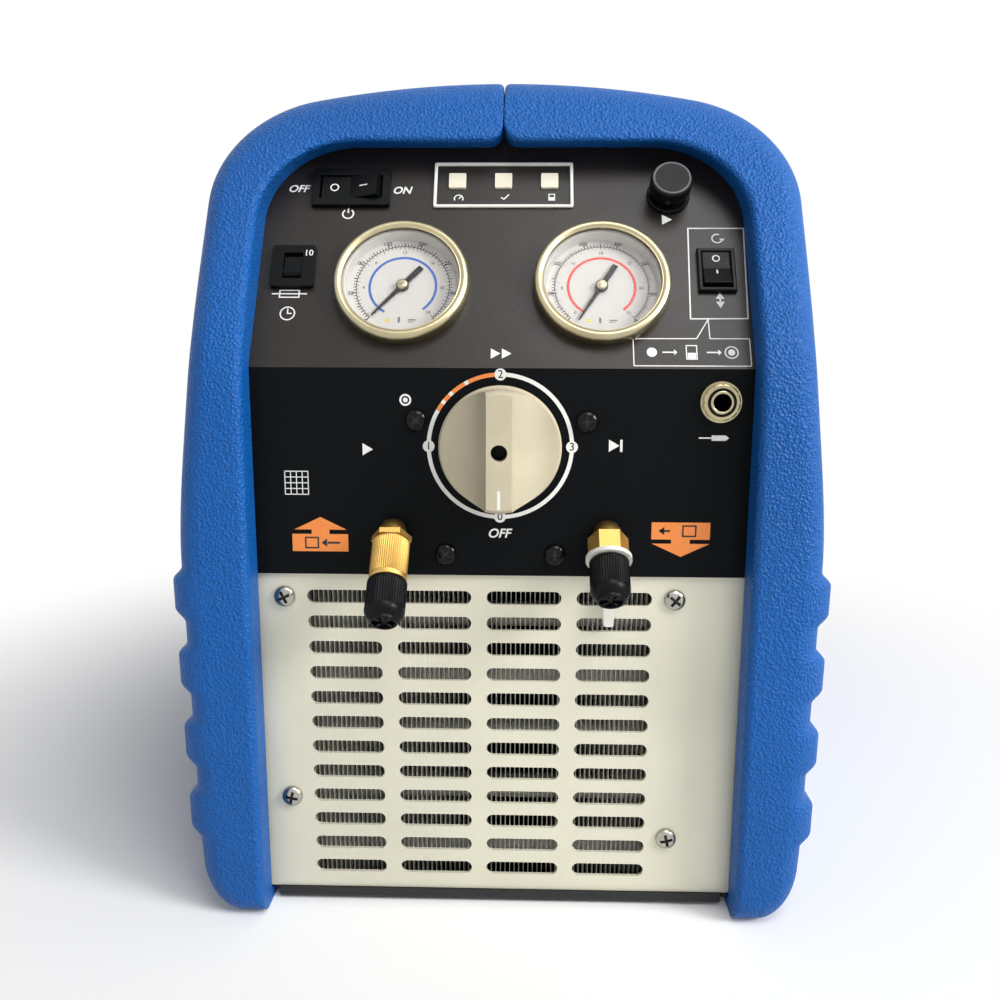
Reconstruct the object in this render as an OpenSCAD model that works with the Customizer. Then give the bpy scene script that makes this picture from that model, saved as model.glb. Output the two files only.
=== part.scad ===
// Portable refrigerant recovery machine.
// Frame: +Z up, the control panel faces -Y, origin on the floor under the middle of the whole object.
// All lengths are in millimetres.

/* [Case] */
// Place of the middle of the case behind the origin, which lies under the middle of the whole object
case_y = 10.5; // [8:0.1:16]
// Depth of the case from the front rim to the rear rim
case_d = 400; // [380:1:420]
// Width across the upper part of the case
upper_w = 228; // [222:1:240]
// Distance by which the lower sides stand out beyond the upper ones
flare_out = 6.5; // [3:0.5:12]
// Height of the front arch at its middle
arch_h = 328.5; // [322:0.5:336]
// Radius of the crown of the arch, seen from the front
crown_r = 390; // [300:10:600]
// Width of the round upper corners of the case
arch_corner = 50; // [42:1:56]
// Width of the round lower corners of the case
foot_corner = 16.5; // [14:0.5:18]
// Height of the round lower corners of the case
foot_rise = 24; // [18:1:26]
// Rounding of the outer edges of the front and rear rims
edge_r = 10; // [6:1:12]
// Wall of the moulded shells
shell_wall = 4; // [3:0.5:5]
// Gap between the two shells at the seam
seam_gap = 0.4; // [0.2:0.1:1]
// Rounding of the shell corners at the lower end of the seam
seam_corner = 6; // [3:0.5:8]

/* [Rim and control panel] */
// Width of the rim beside the control panel
rim_w = 21; // [19:0.5:24]
// Depth of the control panel behind the front rim
rim_recess = 14; // [11:0.5:17]
// Rounding of the inner edge of the rim
rim_inner_r = 3; // [2:0.5:4]
// Angle by which the upper half of the panel leans back
lean = 30; // [24:1:34]
// Height of the bend between the two halves of the panel
bend_z = 217; // [214:1:220]
// Height of the top of the panel opening
opening_top = 302.5; // [300:0.5:306]
// Corner radius of the panel opening
opening_corner = 35; // [25:1:40]
// Overlap of the panels behind the rim
panel_lap = 7; // [5:0.5:9]
// Thickness of the panel sheets
sheet_t = 1.5; // [1:0.1:2]
// Height of the lower edge of the black control panel
panel_low_z = 138.4; // [136:0.2:140]
// Height of the lower edge of the slotted grille
grille_low_z = 5.5; // [5:0.5:8]

/* [Grip ribs] */
// Number of grip ribs on each side
rib_count = 4; // [2:1:4]
// Height of the lowest grip rib
rib_low_z = 43; // [40:1:46]
// Spacing of the grip ribs
rib_pitch = 29.6; // [27:0.2:30]
// Distance that the ribs stand out from the side
rib_h = 3.8; // [2:0.1:5]
// Width of the flat crest of a rib
rib_crest = 11; // [9:0.5:14]
// Distance by which the lower sides draw in towards the floor
side_draft = 2; // [0:0.25:4]

/* [Handle] */
// Rise of the handle's crest above the front arch
bar_rise = 21.5; // [14:0.5:32]
// Width of the handle bar
bar_w = 34; // [28:1:40]
// Thickness of the handle bar
bar_t = 26; // [22:1:30]
// Length of the hand opening
hand_l = 180; // [140:5:200]
// Place of the middle of the hand opening, behind the middle of the case
hand_y = 18; // [10:1:26]
// Height of the deck under the handle
deck_z = 272; // [264:1:280]

/* [Grille slots] */
// Number of slot columns
slot_cols = 4; // [2:1:4]
// Number of slot rows
slot_rows = 12; // [6:1:12]
// Length of a slot
slot_l = 28.9; // [24:0.1:31]
// Height of a slot
slot_h = 5.3; // [4:0.1:6.5]
// Spacing of the slot columns
slot_dx = 34.8; // [33:0.1:35]
// Spacing of the slot rows
slot_dz = 10.38; // [9:0.02:10.5]
// Height of the lowest row of slots
slot_low_z = 14.8; // [14:0.2:18]
// Place of the slot field beside the middle of the case
slot_x = -8.1; // [-10:0.1:-4]

/* [Selector knob] */
// Height of the knob axis
knob_z = 188; // [186:0.5:190]
// Radius of the knob
knob_r = 22.8; // [20:0.2:25]
// Height of the knob
knob_h = 19; // [16:0.5:22]
// Width of the grip bar across the knob
knob_bar = 9; // [7:0.5:11]
// Radius of the valve stem
stem_r = 4; // [3:0.25:5]

/* [Gauges] */
// Distance of each gauge from the middle of the panel
gauge_x = 37.8; // [35:0.2:39]
// Place of the gauges up the leaning panel
gauge_s = 35; // [33:0.5:38]
// Radius of the gauge bezel
bezel_r = 25.8; // [24:0.2:26.5]
// Height of the bezel in front of the panel
bezel_h = 6.2; // [5:0.2:8]
// Depth of the gauge case behind the panel
gauge_depth = 26; // [20:1:28]
// Rest angle of the suction pointer, to the left of straight up
suction_rest = 139; // [120:1:150]
// Rest angle of the discharge pointer, to the left of straight up
discharge_rest = 149; // [120:1:150]
// Length of a pointer from its axis to its tip
pointer_l = 17; // [14:0.5:18]

/* [Switches] */
// Place of the power switch across the panel
power_x = -60; // [-62:0.5:-58]
// Place of the power switch up the panel
power_s = 78.6; // [77:0.2:79]
// Length and width of the power switch bezel
power_size = [31, 17];
// Length and width of the power rocker
power_paddle = [24.8, 10.8];
// Distance of the bypass switch from the right edge of the opening
bypass_inset = 11.8; // [10.5:0.1:14]
// Place of the bypass switch up the panel
bypass_s = 41.3; // [38:0.2:44]
// Length and width of the bypass switch bezel
bypass_size = [21, 15];
// Length and width of the bypass rocker
bypass_paddle = [14.8, 8.8];
// Distance of the circuit breaker from the left edge of the opening
breaker_inset = 13; // [11.5:0.1:15]
// Place of the circuit breaker up the panel
breaker_s = 42.4; // [38:0.2:44]
// Length and width of the circuit breaker frame
breaker_size = [18, 16.8];
// Length and width of the circuit breaker's rocker
breaker_paddle = [11.3, 7.3];
// Swing of a rocker to each side of its middle
rocker_swing = 8; // [5:0.5:10]

/* [Start button] */
// Place of the start button across the panel
start_x = 64.4; // [62:0.2:66]
// Place of the start button up the panel
start_s = 75.2; // [73:0.2:77]
// Radius of the button cap
start_r = 7.85; // [6.5:0.05:8.5]
// Height of the button cap's top above the panel
start_h = 11.5; // [11:0.25:15]
// Travel of the button
start_travel = 3; // [1:0.25:3.5]

/* [Indicator lights] */
// Place of the indicator frame up the panel
lights_s = 80.3; // [78:0.1:81]
// Width of the indicator frame
lights_w = 54.9; // [50:0.1:58]
// Height of the indicator frame up the panel
lights_h = 21; // [18:0.1:22]
// Spacing of the indicator lights
lights_dx = 18.2; // [15:0.1:19]
// Side of each square indicator light
light_side = 6.8; // [5:0.1:8]

/* [Jack socket] */
// Distance of the jack socket from the right edge of the opening
jack_inset = 12; // [10.5:0.1:14]
// Height of the jack socket
jack_z = 205; // [202:0.2:207]
// Radius of the jack bore
jack_bore_r = 3.2; // [3:0.05:3.5]
// Depth of the jack bore
jack_bore_l = 24; // [20:1:28]

/* [Refrigerant ports] */
// Distance of each port from the middle of the panel
port_x = 40.4; // [39:0.2:42]
// Height of the ports
port_z = 155.3; // [153:0.1:157]
// Angle by which the ports point down
port_dip = 45; // [35:1:55]
// Radius of the threaded port necks
neck_r = 4.5; // [4:0.1:5]
// Radius of the port caps
cap_r = 7.35; // [6.6:0.05:8]
// Length of the port caps
cap_l = 17; // [14:0.5:19]
// Radius of the knurled filter body
filter_r = 7; // [6.4:0.05:7.6]
// Length of the knurled filter body
filter_l = 17; // [14:0.5:20]

/* [Condenser and drive] */
// Number of condenser tubes
tube_count = 5; // [3:1:5]
// Spacing of the condenser tubes
tube_pitch = 25; // [22:0.5:25]
// Radius of the condenser tubes
tube_r = 4.75; // [4:0.05:5]
// Spacing of the condenser fins
fin_pitch = 1.9; // [1.6:0.1:3]
// Thickness of a condenser fin
fin_t = 0.3; // [0.2:0.05:0.4]
// Depth of the condenser
fin_d = 22; // [18:1:24]
// Width of the condenser between its end plates
fin_w = 138; // [130:1:140]
// Height of the motor axis
motor_z = 70; // [68:0.5:74]
// Radius of the motor
motor_r = 48; // [42:1:50]
// Length of the motor
motor_l = 120; // [100:1:126]
// Radius of the motor shaft
shaft_r = 5; // [4:0.5:6]
// Radius over the fan blades
fan_r = 58; // [50:1:60]
// Number of fan blades
fan_blades_n = 5; // [4:1:7]

/* [Clearances] */
// Gap between parts that are assembled face to face
seat_gap = 0.1; // [0.05:0.05:0.2]
// Gap between a part and the hole that it passes through
hole_gap = 0.3; // [0.2:0.05:0.5]
// Radial gap of a turning shaft in its bearing
run_gap = 0.05; // [0.03:0.01:0.08]

/* [Hidden] */

$fn = 48;
e = 0.01;
front_y = case_y - case_d / 2;
panel_y = front_y + rim_recess;
rear_y = case_y + case_d / 2 - rim_recess;
upper_hw = upper_w / 2;
lower_hw = upper_hw + flare_out;
foot_hw = lower_hw - side_draft;
opening_hw = upper_hw - rim_w;
panel_hw = opening_hw + panel_lap;
bypass_x = opening_hw - bypass_inset;
breaker_x = breaker_inset - opening_hw;
jack_x = opening_hw - jack_inset;
rear_lean = 20;
rear_bend_z = bend_z + 33;
flare_top = bend_z + 16;
flare_low = panel_low_z + 6;
arch_rise = arch_corner * cos(lean);
fillet_steps = 5;
rim_bend_w = 14;
panel_s = (opening_top - bend_z) / cos(lean) + panel_lap;
rear_s = (opening_top - rear_bend_z) / cos(rear_lean) + panel_lap;

blue = [0.13, 0.40, 0.70];
black = [0.07, 0.08, 0.09];
silver = [0.80, 0.80, 0.76];
steel = [0.62, 0.63, 0.65];
brass = [0.85, 0.68, 0.32];
copper = [0.78, 0.47, 0.30];
beige = [0.84, 0.80, 0.71];
white = [0.92, 0.92, 0.90];
dark_grey = [0.20, 0.21, 0.22];

// Frames of the two halves of the panel: X right, Y up the panel, Z out of it.
module on_lower(x, z) translate([x, panel_y, z]) rotate([90, 0, 0]) children();
module on_upper(x, s) translate([0, panel_y, bend_z]) rotate([90 - lean, 0, 0])
    translate([x, s, 0]) children();
module on_rear(x, z) translate([x, rear_y, z]) rotate([90, 0, 180]) children();

// Flat outlines made of straight and round stretches
module obround(l, h) {
    square([l - h, h], center = true);
    for (side = [-1, 1]) translate([side * (l - h) / 2, 0]) circle(h / 2);
}
module rounded(w, h, r) {
    square([w - 2 * r, h], center = true);
    square([w, h - 2 * r], center = true);
    for (sx = [-1, 1], sy = [-1, 1]) translate([sx * (w / 2 - r), sy * (h / 2 - r)]) circle(r);
}
module round_top(hw, low, high, r) {
    translate([-hw, low]) square([2 * hw, high - r - low]);
    translate([r - hw, low]) square([2 * (hw - r), high - low]);
    for (side = [-1, 1]) translate([side * (hw - r), high - r]) circle(r);
}

// Moulded shells
// Each shell is a loft along the depth of the case. A station is a closed loop: the skin from the foot up
// to the seam, and the inner line back down. The inner line is the edge of the panel opening in the rims
// and the lining, one wall inside the skin, between them.
function flare(z) =
    let (t = min(1, max(0, (flare_top - z) / (flare_top - flare_low))))
    upper_hw + (lower_hw - upper_hw) * t * t * (3 - 2 * t) - side_draft * max(0, 1 - z / flare_low);
function crown(x) = arch_h - crown_r + sqrt(crown_r * crown_r - x * x);
rib_slope = 4.6;
rib_steps = [for (side = [-1, 1], k = [1, 0.5, 0]) side * (rib_crest / 2 + rib_slope * (side < 0 ? k : 1 - k))];
rib_share = [0, 0.5, 1, 1, 0.5, 0];
side_z = concat([for (k = [0 : rib_count - 1], d = rib_steps) rib_low_z + k * rib_pitch + d],
    [for (k = [1 : 4]) flare_low + (bend_z - 10 - flare_low) * k / 4],
    [bend_z, bend_z + 8, bend_z + 20, rear_bend_z]);
rib_out = concat([for (k = [0 : rib_count - 1], f = rib_share) f * rib_h],
    [for (k = [rib_count * len(rib_steps) : len(side_z) - 1]) 0]);
corner_x = upper_hw - arch_corner;
join = 78;
join_x = corner_x + arch_corner * cos(join);
corner_z = crown(join_x) - arch_rise * sin(join);
seam_x = seam_gap / 2;
notch = [for (t = [0 : 30 : 90]) [seam_x + seam_corner * (1 - sin(t)), seam_corner * (1 - cos(t))]];
// Skin of the case seen from the front, moved inwards by d, with the share f of the rib height
function skin(d, f) = concat(
    [[opening_hw, d]],
    [for (t = [-90 : 15 : 0]) [foot_hw - foot_corner + (foot_corner - d) * cos(t),
        foot_rise + (foot_rise - d) * sin(t)]],
    [for (k = [0 : len(side_z) - 1]) [flare(side_z[k]) - d + f * rib_out[k], side_z[k]]],
    [for (t = [0 : 13 : join]) [corner_x + (arch_corner - d) * cos(t), corner_z + (arch_rise - d) * sin(t)]],
    [for (k = [3, 2, 1]) [corner_x * k / 4 + seam_corner, crown(corner_x * k / 4 + seam_corner) - d]],
    [for (q = notch) [q[0], crown(q[0]) - d]]);
// Edge of the panel opening, widened by g, from the height low upwards
open_corner_x = opening_hw - opening_corner;
open_corner_z = opening_corner * cos(lean);
function opening_edge(g, low) = concat(
    [for (k = [0 : 7]) [opening_hw + g, low + 1 + (foot_rise + 4 - low) * k / 7]],
    [for (z = side_z) [opening_hw + g, z]],
    [for (t = [0 : 15 : 90]) [open_corner_x + (opening_corner + g) * cos(t),
        opening_top - open_corner_z + (open_corner_z + g) * sin(t)]],
    [for (k = [3, 2, 1]) [open_corner_x * k / 4 + seam_corner * 0.5, opening_top + g]],
    [for (q = notch) [q[0], opening_top + g + q[1]]]);
// The same lines with everything above the deck under the handle pressed down to it
function decked(line, d) = [for (p = line) [p[0], min(p[1], deck_z - d)]];
// Depth of the faces of the case at height z, with a soft bend of width w in the rims
function soft_step(d, w) = (d + sqrt(d * d + w * w)) / 2;
function rim_front(z) = front_y + tan(lean) * soft_step(z - bend_z - rim_recess * tan(lean / 2), rim_bend_w);
function rim_rear(z) = front_y + case_d - tan(rear_lean) * soft_step(z - rear_bend_z, rim_bend_w);
function panel_front(z) = panel_y + tan(lean) * max(0, z - bend_z);
function panel_rear(z) = rear_y - tan(rear_lean) * max(0, z - rear_bend_z);
function edge_round(d) =
    d < rim_inner_r ? rim_inner_r - sqrt(pow(rim_inner_r, 2) - pow(rim_inner_r - d, 2)) : 0;
function reversed(v) = [for (i = [len(v) - 1 : -1 : 0]) v[i]];
// One station at a fixed depth, and one that follows the front (side = -1) or the rear (side = 1) rim
function flat_station(outer, inner, y) = [for (p = concat(outer, reversed(inner))) [p[0], y, p[1]]];
function rim_station(side, k) =
    let (t = 90 * k / fillet_steps, inset = edge_r * (1 - sin(t)), depth = edge_r * (1 - cos(t)))
    [for (p = concat(skin(inset, sin(t)), reversed(opening_edge(edge_round(depth), inset))))
        [p[0], side < 0 ? rim_front(p[1]) + depth : rim_rear(p[1]) - depth, p[1]]];
function panel_station(side, inner, gap) =
    [for (p = concat(skin(0, 1), reversed(inner)))
        [p[0], side < 0 ? panel_front(p[1]) - gap : panel_rear(p[1]) + gap, p[1]]];
wall_step = 0.4;
hand_front = case_y + hand_y - hand_l / 2;
hand_rear = hand_front + hand_l;
lining = skin(shell_wall, 0);
deck_skin = decked(skin(0, 1), 0);
deck_lining = decked(lining, shell_wall);
stations = concat(
    [for (k = [0 : fillet_steps]) rim_station(-1, k)],
    [panel_station(-1, opening_edge(0, 0), seat_gap + wall_step), panel_station(-1, lining, seat_gap),
     flat_station(skin(0, 1), lining, hand_front - shell_wall),
     flat_station(skin(0, 1), deck_lining, hand_front - shell_wall + wall_step),
     flat_station(skin(0, 1), deck_lining, hand_front),
     flat_station(deck_skin, deck_lining, hand_front + wall_step),
     flat_station(deck_skin, deck_lining, hand_rear - wall_step),
     flat_station(skin(0, 1), deck_lining, hand_rear),
     flat_station(skin(0, 1), deck_lining, hand_rear + shell_wall - wall_step),
     flat_station(skin(0, 1), lining, hand_rear + shell_wall),
     panel_station(1, lining, seat_gap), panel_station(1, opening_edge(0, 0), seat_gap + wall_step)],
    [for (k = [fillet_steps : -1 : 0]) rim_station(1, k)]);
module shell_loft() {
    n = len(stations[0]);
    m = len(stations);
    sides = [for (j = [0 : m - 2], i = [0 : n - 1])
        let (k = (i + 1) % n)
        each [[j * n + i, j * n + k, (j + 1) * n + i], [j * n + k, (j + 1) * n + k, (j + 1) * n + i]]];
    caps = [for (c = [0, m - 1], i = [0 : n / 2 - 2])
        let (o = c * n, q = [o + i, o + i + 1, o + n - 2 - i, o + n - 1 - i])
        each (c == 0 ? [[q[0], q[2], q[1]], [q[0], q[3], q[2]]] : [[q[0], q[1], q[2]], [q[0], q[2], q[3]]])];
    polyhedron(points = [for (s = stations) each s], faces = concat(sides, caps), convexity = 10);
}
module right_shell() color(blue) shell_loft();
module left_shell() color(blue) mirror([1, 0, 0]) shell_loft();

// Handle: a rounded bar, bent along an arc between the front arch and the rear arch
crest_h = arch_h + bar_rise;
bar_round = bar_t / 2 - 4;
bar_reach = hand_l / 2;
bar_bend_r = (bar_reach * bar_reach + bar_rise * bar_rise) / (2 * bar_rise);
bar_span = 2 * asin(bar_reach / (bar_bend_r - bar_t)) + 4;
module handle_bar() color(blue)
    intersection() {
        translate([0, case_y + hand_y, crest_h - bar_bend_r]) rotate([0, -90, 0]) rotate([0, 0, -bar_span / 2])
            rotate_extrude(angle = bar_span, $fn = 180)
                translate([bar_bend_r - bar_t / 2, 0]) rounded(bar_t, bar_w, bar_round);
        translate([-bar_w, hand_front + wall_step + seat_gap, deck_z])
            cube([2 * bar_w, hand_l - 2 * (wall_step + seat_gap), crest_h]);
    }

// Screws
module pan_head(r, h, shank_r, shank_l) {
    rotate_extrude() polygon([[0, 0], [r, 0], [r, h * 0.35], [r * 0.8, h * 0.8], [r * 0.35, h], [0, h]]);
    translate([0, 0, -shank_l]) cylinder(r = shank_r, h = shank_l + e);
}
module cross_recess(r, h)
    for (a = [0, 90]) rotate([0, 0, a])
        translate([-r * 0.55, -r * 0.12, h * 0.45]) cube([r * 1.1, r * 0.24, h]);
screw_r = 4.1;
screw_h = 2.6;
shank_r = 1.9;
module cross_screw(l)
    difference() {
        pan_head(screw_r, screw_h, shank_r, l);
        cross_recess(screw_r, screw_h);
    }
bracket_x = fin_w / 2 + 6.3;
grille_screw_at = [[slot_x - bracket_x, 129], [slot_x + bracket_x, 129],
    [slot_x - bracket_x, 45.4], [slot_x + bracket_x, 29.3]];
valve_screw_at = [[-31.3, knob_z + 9.6], [32.2, knob_z + 9.4], [-20.6, knob_z - 41.3], [20.9, knob_z - 41.3]];
rear_screw_low = 16;
rear_screw_dz = 94;
rear_screw_at = [for (sx = [-1, 1], k = [0 : 2])
    [sx * (opening_hw - panel_lap), rear_screw_low + k * rear_screw_dz]];
grille_z = -sheet_t - seat_gap;
module grille_screws() color(steel)
    for (p = grille_screw_at)
        on_lower(p[0], p[1]) translate([0, 0, grille_z + seat_gap]) cross_screw(5);
module valve_screws() color(black)
    for (p = valve_screw_at) on_lower(p[0], p[1]) translate([0, 0, seat_gap]) cross_screw(10);
module rear_screws() color(black)
    for (p = rear_screw_at) on_rear(p[0], p[1]) translate([0, 0, seat_gap]) cross_screw(5);

// Sheet panels
module bevel_slots(cols, rows, low_z)
    for (i = [0 : cols - 1], j = [0 : rows - 1])
        translate([slot_x + (i - (cols - 1) / 2) * slot_dx, low_z + j * slot_dz]) obround(slot_l, slot_h);
module control_panel() color(black)
    difference() {
        union() {
            on_lower(0, 0) translate([-panel_hw, panel_low_z, -sheet_t])
                cube([2 * panel_hw, bend_z - panel_low_z, sheet_t]);
            on_upper(0, 0) translate([0, 0, -sheet_t]) linear_extrude(sheet_t)
                round_top(panel_hw, 0, panel_s, opening_corner + panel_lap);
        }
        on_lower(0, knob_z) through(stem_r + 2);
        on_lower(jack_x, jack_z) through(jack_sleeve_r + hole_gap);
        for (side = [-1, 1]) on_lower(side * port_x, port_z) through(port_stub_r + hole_gap);
        for (p = valve_screw_at) on_lower(p[0], p[1]) through(shank_r + hole_gap);
        for (side = [-1, 1]) on_upper(side * gauge_x, gauge_s) through(gauge_r + hole_gap);
        on_upper(power_x, power_s) switch_hole(power_size);
        on_bypass() switch_hole(bypass_size);
        on_breaker() switch_hole(breaker_size);
        on_upper(start_x, start_s) through(start_body_r + hole_gap);
        for (k = [-1 : 1]) on_upper(k * lights_dx, lights_s + light_up)
            translate([0, 0, -sheet_t / 2])
                cube([light_side + 2 * hole_gap, light_side + 2 * hole_gap, 9], center = true);
    }
module through(r) translate([0, 0, -6]) cylinder(r = r, h = 10);
module switch_hole(size)
    translate([0, 0, -sheet_t / 2])
        cube([size[0] - 4 + 2 * hole_gap, size[1] - 4 + 2 * hole_gap, 9], center = true);
grille_top_z = panel_low_z + 3.5;
module grille_panel() color(silver)
    on_lower(0, 0) translate([0, 0, grille_z - sheet_t]) linear_extrude(sheet_t)
        difference() {
            translate([-panel_hw, grille_low_z]) square([2 * panel_hw, grille_top_z - grille_low_z]);
            bevel_slots(slot_cols, slot_rows, slot_low_z);
            for (p = grille_screw_at) translate(p) circle(shank_r + hole_gap);
        }
grille_back_y = panel_y - grille_z + sheet_t;
pan_z = 2.5;
pan_step = shell_wall + seat_gap;
pan_hw = opening_hw + 9;
pan_wall_h = 10;
pan_front_y = grille_back_y + seat_gap;
pan_rear_y = rear_y - sheet_t - seat_gap;
// Bent sheet tray: the middle hangs between the feet, the wings lie on them, the sides turn up
pan_half = [[opening_hw - 1, pan_z], [opening_hw - 1, pan_step], [pan_hw, pan_step], [pan_hw, pan_wall_h],
    [pan_hw - sheet_t, pan_wall_h], [pan_hw - sheet_t, pan_step + sheet_t],
    [opening_hw - 1 - sheet_t, pan_step + sheet_t], [opening_hw - 1 - sheet_t, pan_z + sheet_t]];
module base_pan() color(dark_grey)
    translate([0, pan_rear_y, 0]) rotate([90, 0, 0]) linear_extrude(pan_rear_y - pan_front_y)
        polygon(concat(pan_half, [for (p = reversed(pan_half)) [-p[0], p[1]]]));
pan_top = pan_z + sheet_t;
inlet_x = 58;
inlet_z = 40;
inlet_w = 28;
inlet_h = 21;
rear_rows = 9;
rear_slot_low = 90;
module rear_panel() color(black) {
    on_rear(0, 0) translate([0, 0, -sheet_t]) linear_extrude(sheet_t)
        difference() {
            translate([-panel_hw, grille_low_z]) square([2 * panel_hw, rear_bend_z - grille_low_z]);
            translate([-2 * slot_x, 0]) bevel_slots(slot_cols, rear_rows, rear_slot_low);
            for (p = rear_screw_at) translate(p) circle(shank_r + hole_gap);
            translate([-inlet_x, inlet_z])
                square([inlet_w + 2 * hole_gap, inlet_h + 2 * hole_gap], center = true);
        }
    translate([0, rear_y, rear_bend_z]) rotate([0, 0, 180]) rotate([90 - rear_lean, 0, 0])
        translate([0, 0, -sheet_t]) linear_extrude(sheet_t)
            round_top(panel_hw, 0, rear_s, opening_corner);
}

// Selector knob, its stem and the valve block behind the panel
knob_gap = 0.6;
module selector_knob() color(beige)
    on_lower(0, knob_z) translate([0, 0, knob_gap])
        difference() {
            rotate_extrude() polygon([[0, 0], [knob_r, 0], [knob_r, 3.2], [knob_r - 0.8, 4],
                [knob_r - 0.8, knob_h - 2],
                [knob_r - 2.2, knob_h], [0, knob_h]]);
            for (side = [-1, 1]) translate([side * (knob_bar / 2 + scoop_r), 0, scoop_r + scoop_z])
                rotate([90, 0, 0]) cylinder(r = scoop_r, h = 3 * knob_r, center = true);
            for (side = [-1, 1]) translate([side * (knob_bar / 2 + scoop_r + knob_r), 0, scoop_z + knob_r])
                cube([2 * knob_r, 3 * knob_r, 2 * knob_r], center = true);
            translate([0, 0, -e]) cylinder(r = stem_r + run_gap, h = stem_top - knob_gap);
            translate([0, 0, stem_top]) cylinder(r = 3, h = knob_h);
        }
scoop_r = 15;
scoop_z = 5.5;
stem_top = 9;
valve_w = 98;
valve_top_z = knob_z + 19;
valve_low_z = grille_top_z + 1.5;
valve_d = 34;
valve_front = -sheet_t - seat_gap;
module valve_stem() color(steel)
    on_lower(0, knob_z) translate([0, 0, valve_front - valve_d + 6])
        cylinder(r = stem_r, h = stem_top - seat_gap - valve_front + valve_d - 6);
module valve_block() color(steel)
    difference() {
        on_lower(0, 0) translate([-valve_w / 2, valve_low_z, valve_front - valve_d])
            cube([valve_w, valve_top_z - valve_low_z, valve_d]);
        on_lower(0, knob_z) translate([0, 0, valve_front - valve_d + 5])
            cylinder(r = stem_r + run_gap, h = valve_d);
        for (side = [-1, 1]) on_lower(side * port_x, port_z) translate([0, 0, valve_front - port_depth])
            cylinder(r = port_stub_r + seat_gap, h = valve_d);
        for (p = valve_screw_at) on_lower(p[0], p[1]) translate([0, 0, valve_front - 12])
            cylinder(r = shank_r + seat_gap, h = valve_d);
    }

// Rocker switches: a framed housing with a rocker on two pins
// The long side lies along local X and the rocker turns about local Y.
frame_h = 2;
pit_depth = 8;
pin_r = 1.25;
pivot_z = -2;
body_depth = 18;
module switch_housing(size, paddle) {
    difference() {
        union() {
            translate([0, 0, seat_gap]) linear_extrude(frame_h) rounded(size[0], size[1], 1.2);
            translate([0, 0, -body_depth]) linear_extrude(body_depth + seat_gap + e)
                rounded(size[0] - 4, size[1] - 4, 0.6);
        }
        translate([0, 0, -pit_depth]) linear_extrude(pit_depth + frame_h + 1)
            square([paddle[0], paddle[1]], center = true);
        translate([0, 0, pivot_z]) rotate([90, 0, 0])
            cylinder(r = pin_r + run_gap, h = paddle[1] + 2, center = true);
    }
    for (side = [-1, 1]) translate([side * (size[0] / 2 - 6), 0, -body_depth - 2])
        cube([0.8, 4.8, 8], center = true);
}
module rocker(paddle) {
    half = paddle[0] / 2;
    low = -3.6;
    translate([0, 0, pivot_z]) rotate([0, -rocker_swing, 0]) {
        intersection() {
            rotate([90, 0, 0]) linear_extrude(paddle[1] - 2 * hole_gap, center = true)
                polygon([[-half, half * 0.14 + 3.4], [0, 3.4], [half, half * 0.14 + 3.4], [half, 0],
                    [half * 0.35, low], [-half * 0.35, low], [-half, 0]]);
            rotate([90, 0, 0]) cylinder(r = half - hole_gap, h = 40, center = true);
        }
        rotate([90, 0, 0]) cylinder(r = pin_r, h = paddle[1] + 1.4, center = true);
    }
}
module on_bypass() on_upper(bypass_x, bypass_s) rotate([0, 0, -90]) children();
module on_breaker() on_upper(breaker_x, breaker_s) rotate([0, 0, -90]) children();
module power_switch() color(black) on_upper(power_x, power_s) switch_housing(power_size, power_paddle);
module power_rocker() color(black) on_upper(power_x, power_s) rocker(power_paddle);
module bypass_switch() color(black) on_bypass() switch_housing(bypass_size, bypass_paddle);
module bypass_rocker() color(black) on_bypass() rocker(bypass_paddle);
module breaker_frame() color(black) on_breaker() switch_housing(breaker_size, breaker_paddle);
module breaker_rocker() color(black) on_breaker() rocker(breaker_paddle);

// Start button in its collar
start_body_r = 6;
boss_r = 5.2;
boss_h = 6;
collar_h = 2;
plunger_r = 3;
module start_collar() color(black)
    on_upper(start_x, start_s)
        difference() {
            rotate_extrude() polygon([[0, -18], [start_body_r, -18], [start_body_r, seat_gap],
                [start_r + 0.5, seat_gap], [start_r + 0.5, collar_h - 0.4], [start_r + 0.1, collar_h],
                [boss_r, collar_h], [boss_r, boss_h], [0, boss_h]]);
            translate([0, 0, -14]) cylinder(r = plunger_r + run_gap, h = 40);
        }
module start_button() color(black)
    on_upper(start_x, start_s)
        rotate_extrude() polygon([[0, -14 + start_travel + 1], [plunger_r, -14 + start_travel + 1],
            [plunger_r, boss_h + start_travel + 0.4], [boss_r + 0.4, boss_h + start_travel + 0.4],
            [boss_r + 0.4, collar_h + start_travel + 0.3], [start_r, collar_h + start_travel + 0.3],
            [start_r, start_h - 1], [start_r - 1, start_h], [0, start_h]]);

// Indicator lights, their frame and the circuit board that carries them
light_up = 2;
light_back = 9;
module indicator_frame() color(white)
    on_upper(0, lights_s) translate([0, 0, seat_gap]) linear_extrude(1)
        difference() {
            rounded(lights_w, lights_h, 0.8);
            square([lights_w - 2.4, lights_h - 2.4], center = true);
        }
module indicator_lights() color(beige)
    for (k = [-1 : 1]) on_upper(k * lights_dx, lights_s + light_up) translate([0, 0, -light_back])
        linear_extrude(light_back + 1) rounded(light_side, light_side, 0.5);
module circuit_board() color([0.10, 0.35, 0.20])
    on_upper(0, lights_s) translate([0, -4, -light_back - seat_gap - 1.6]) linear_extrude(1.6)
        rounded(lights_w + 4, lights_h + 4, 2);

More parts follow.
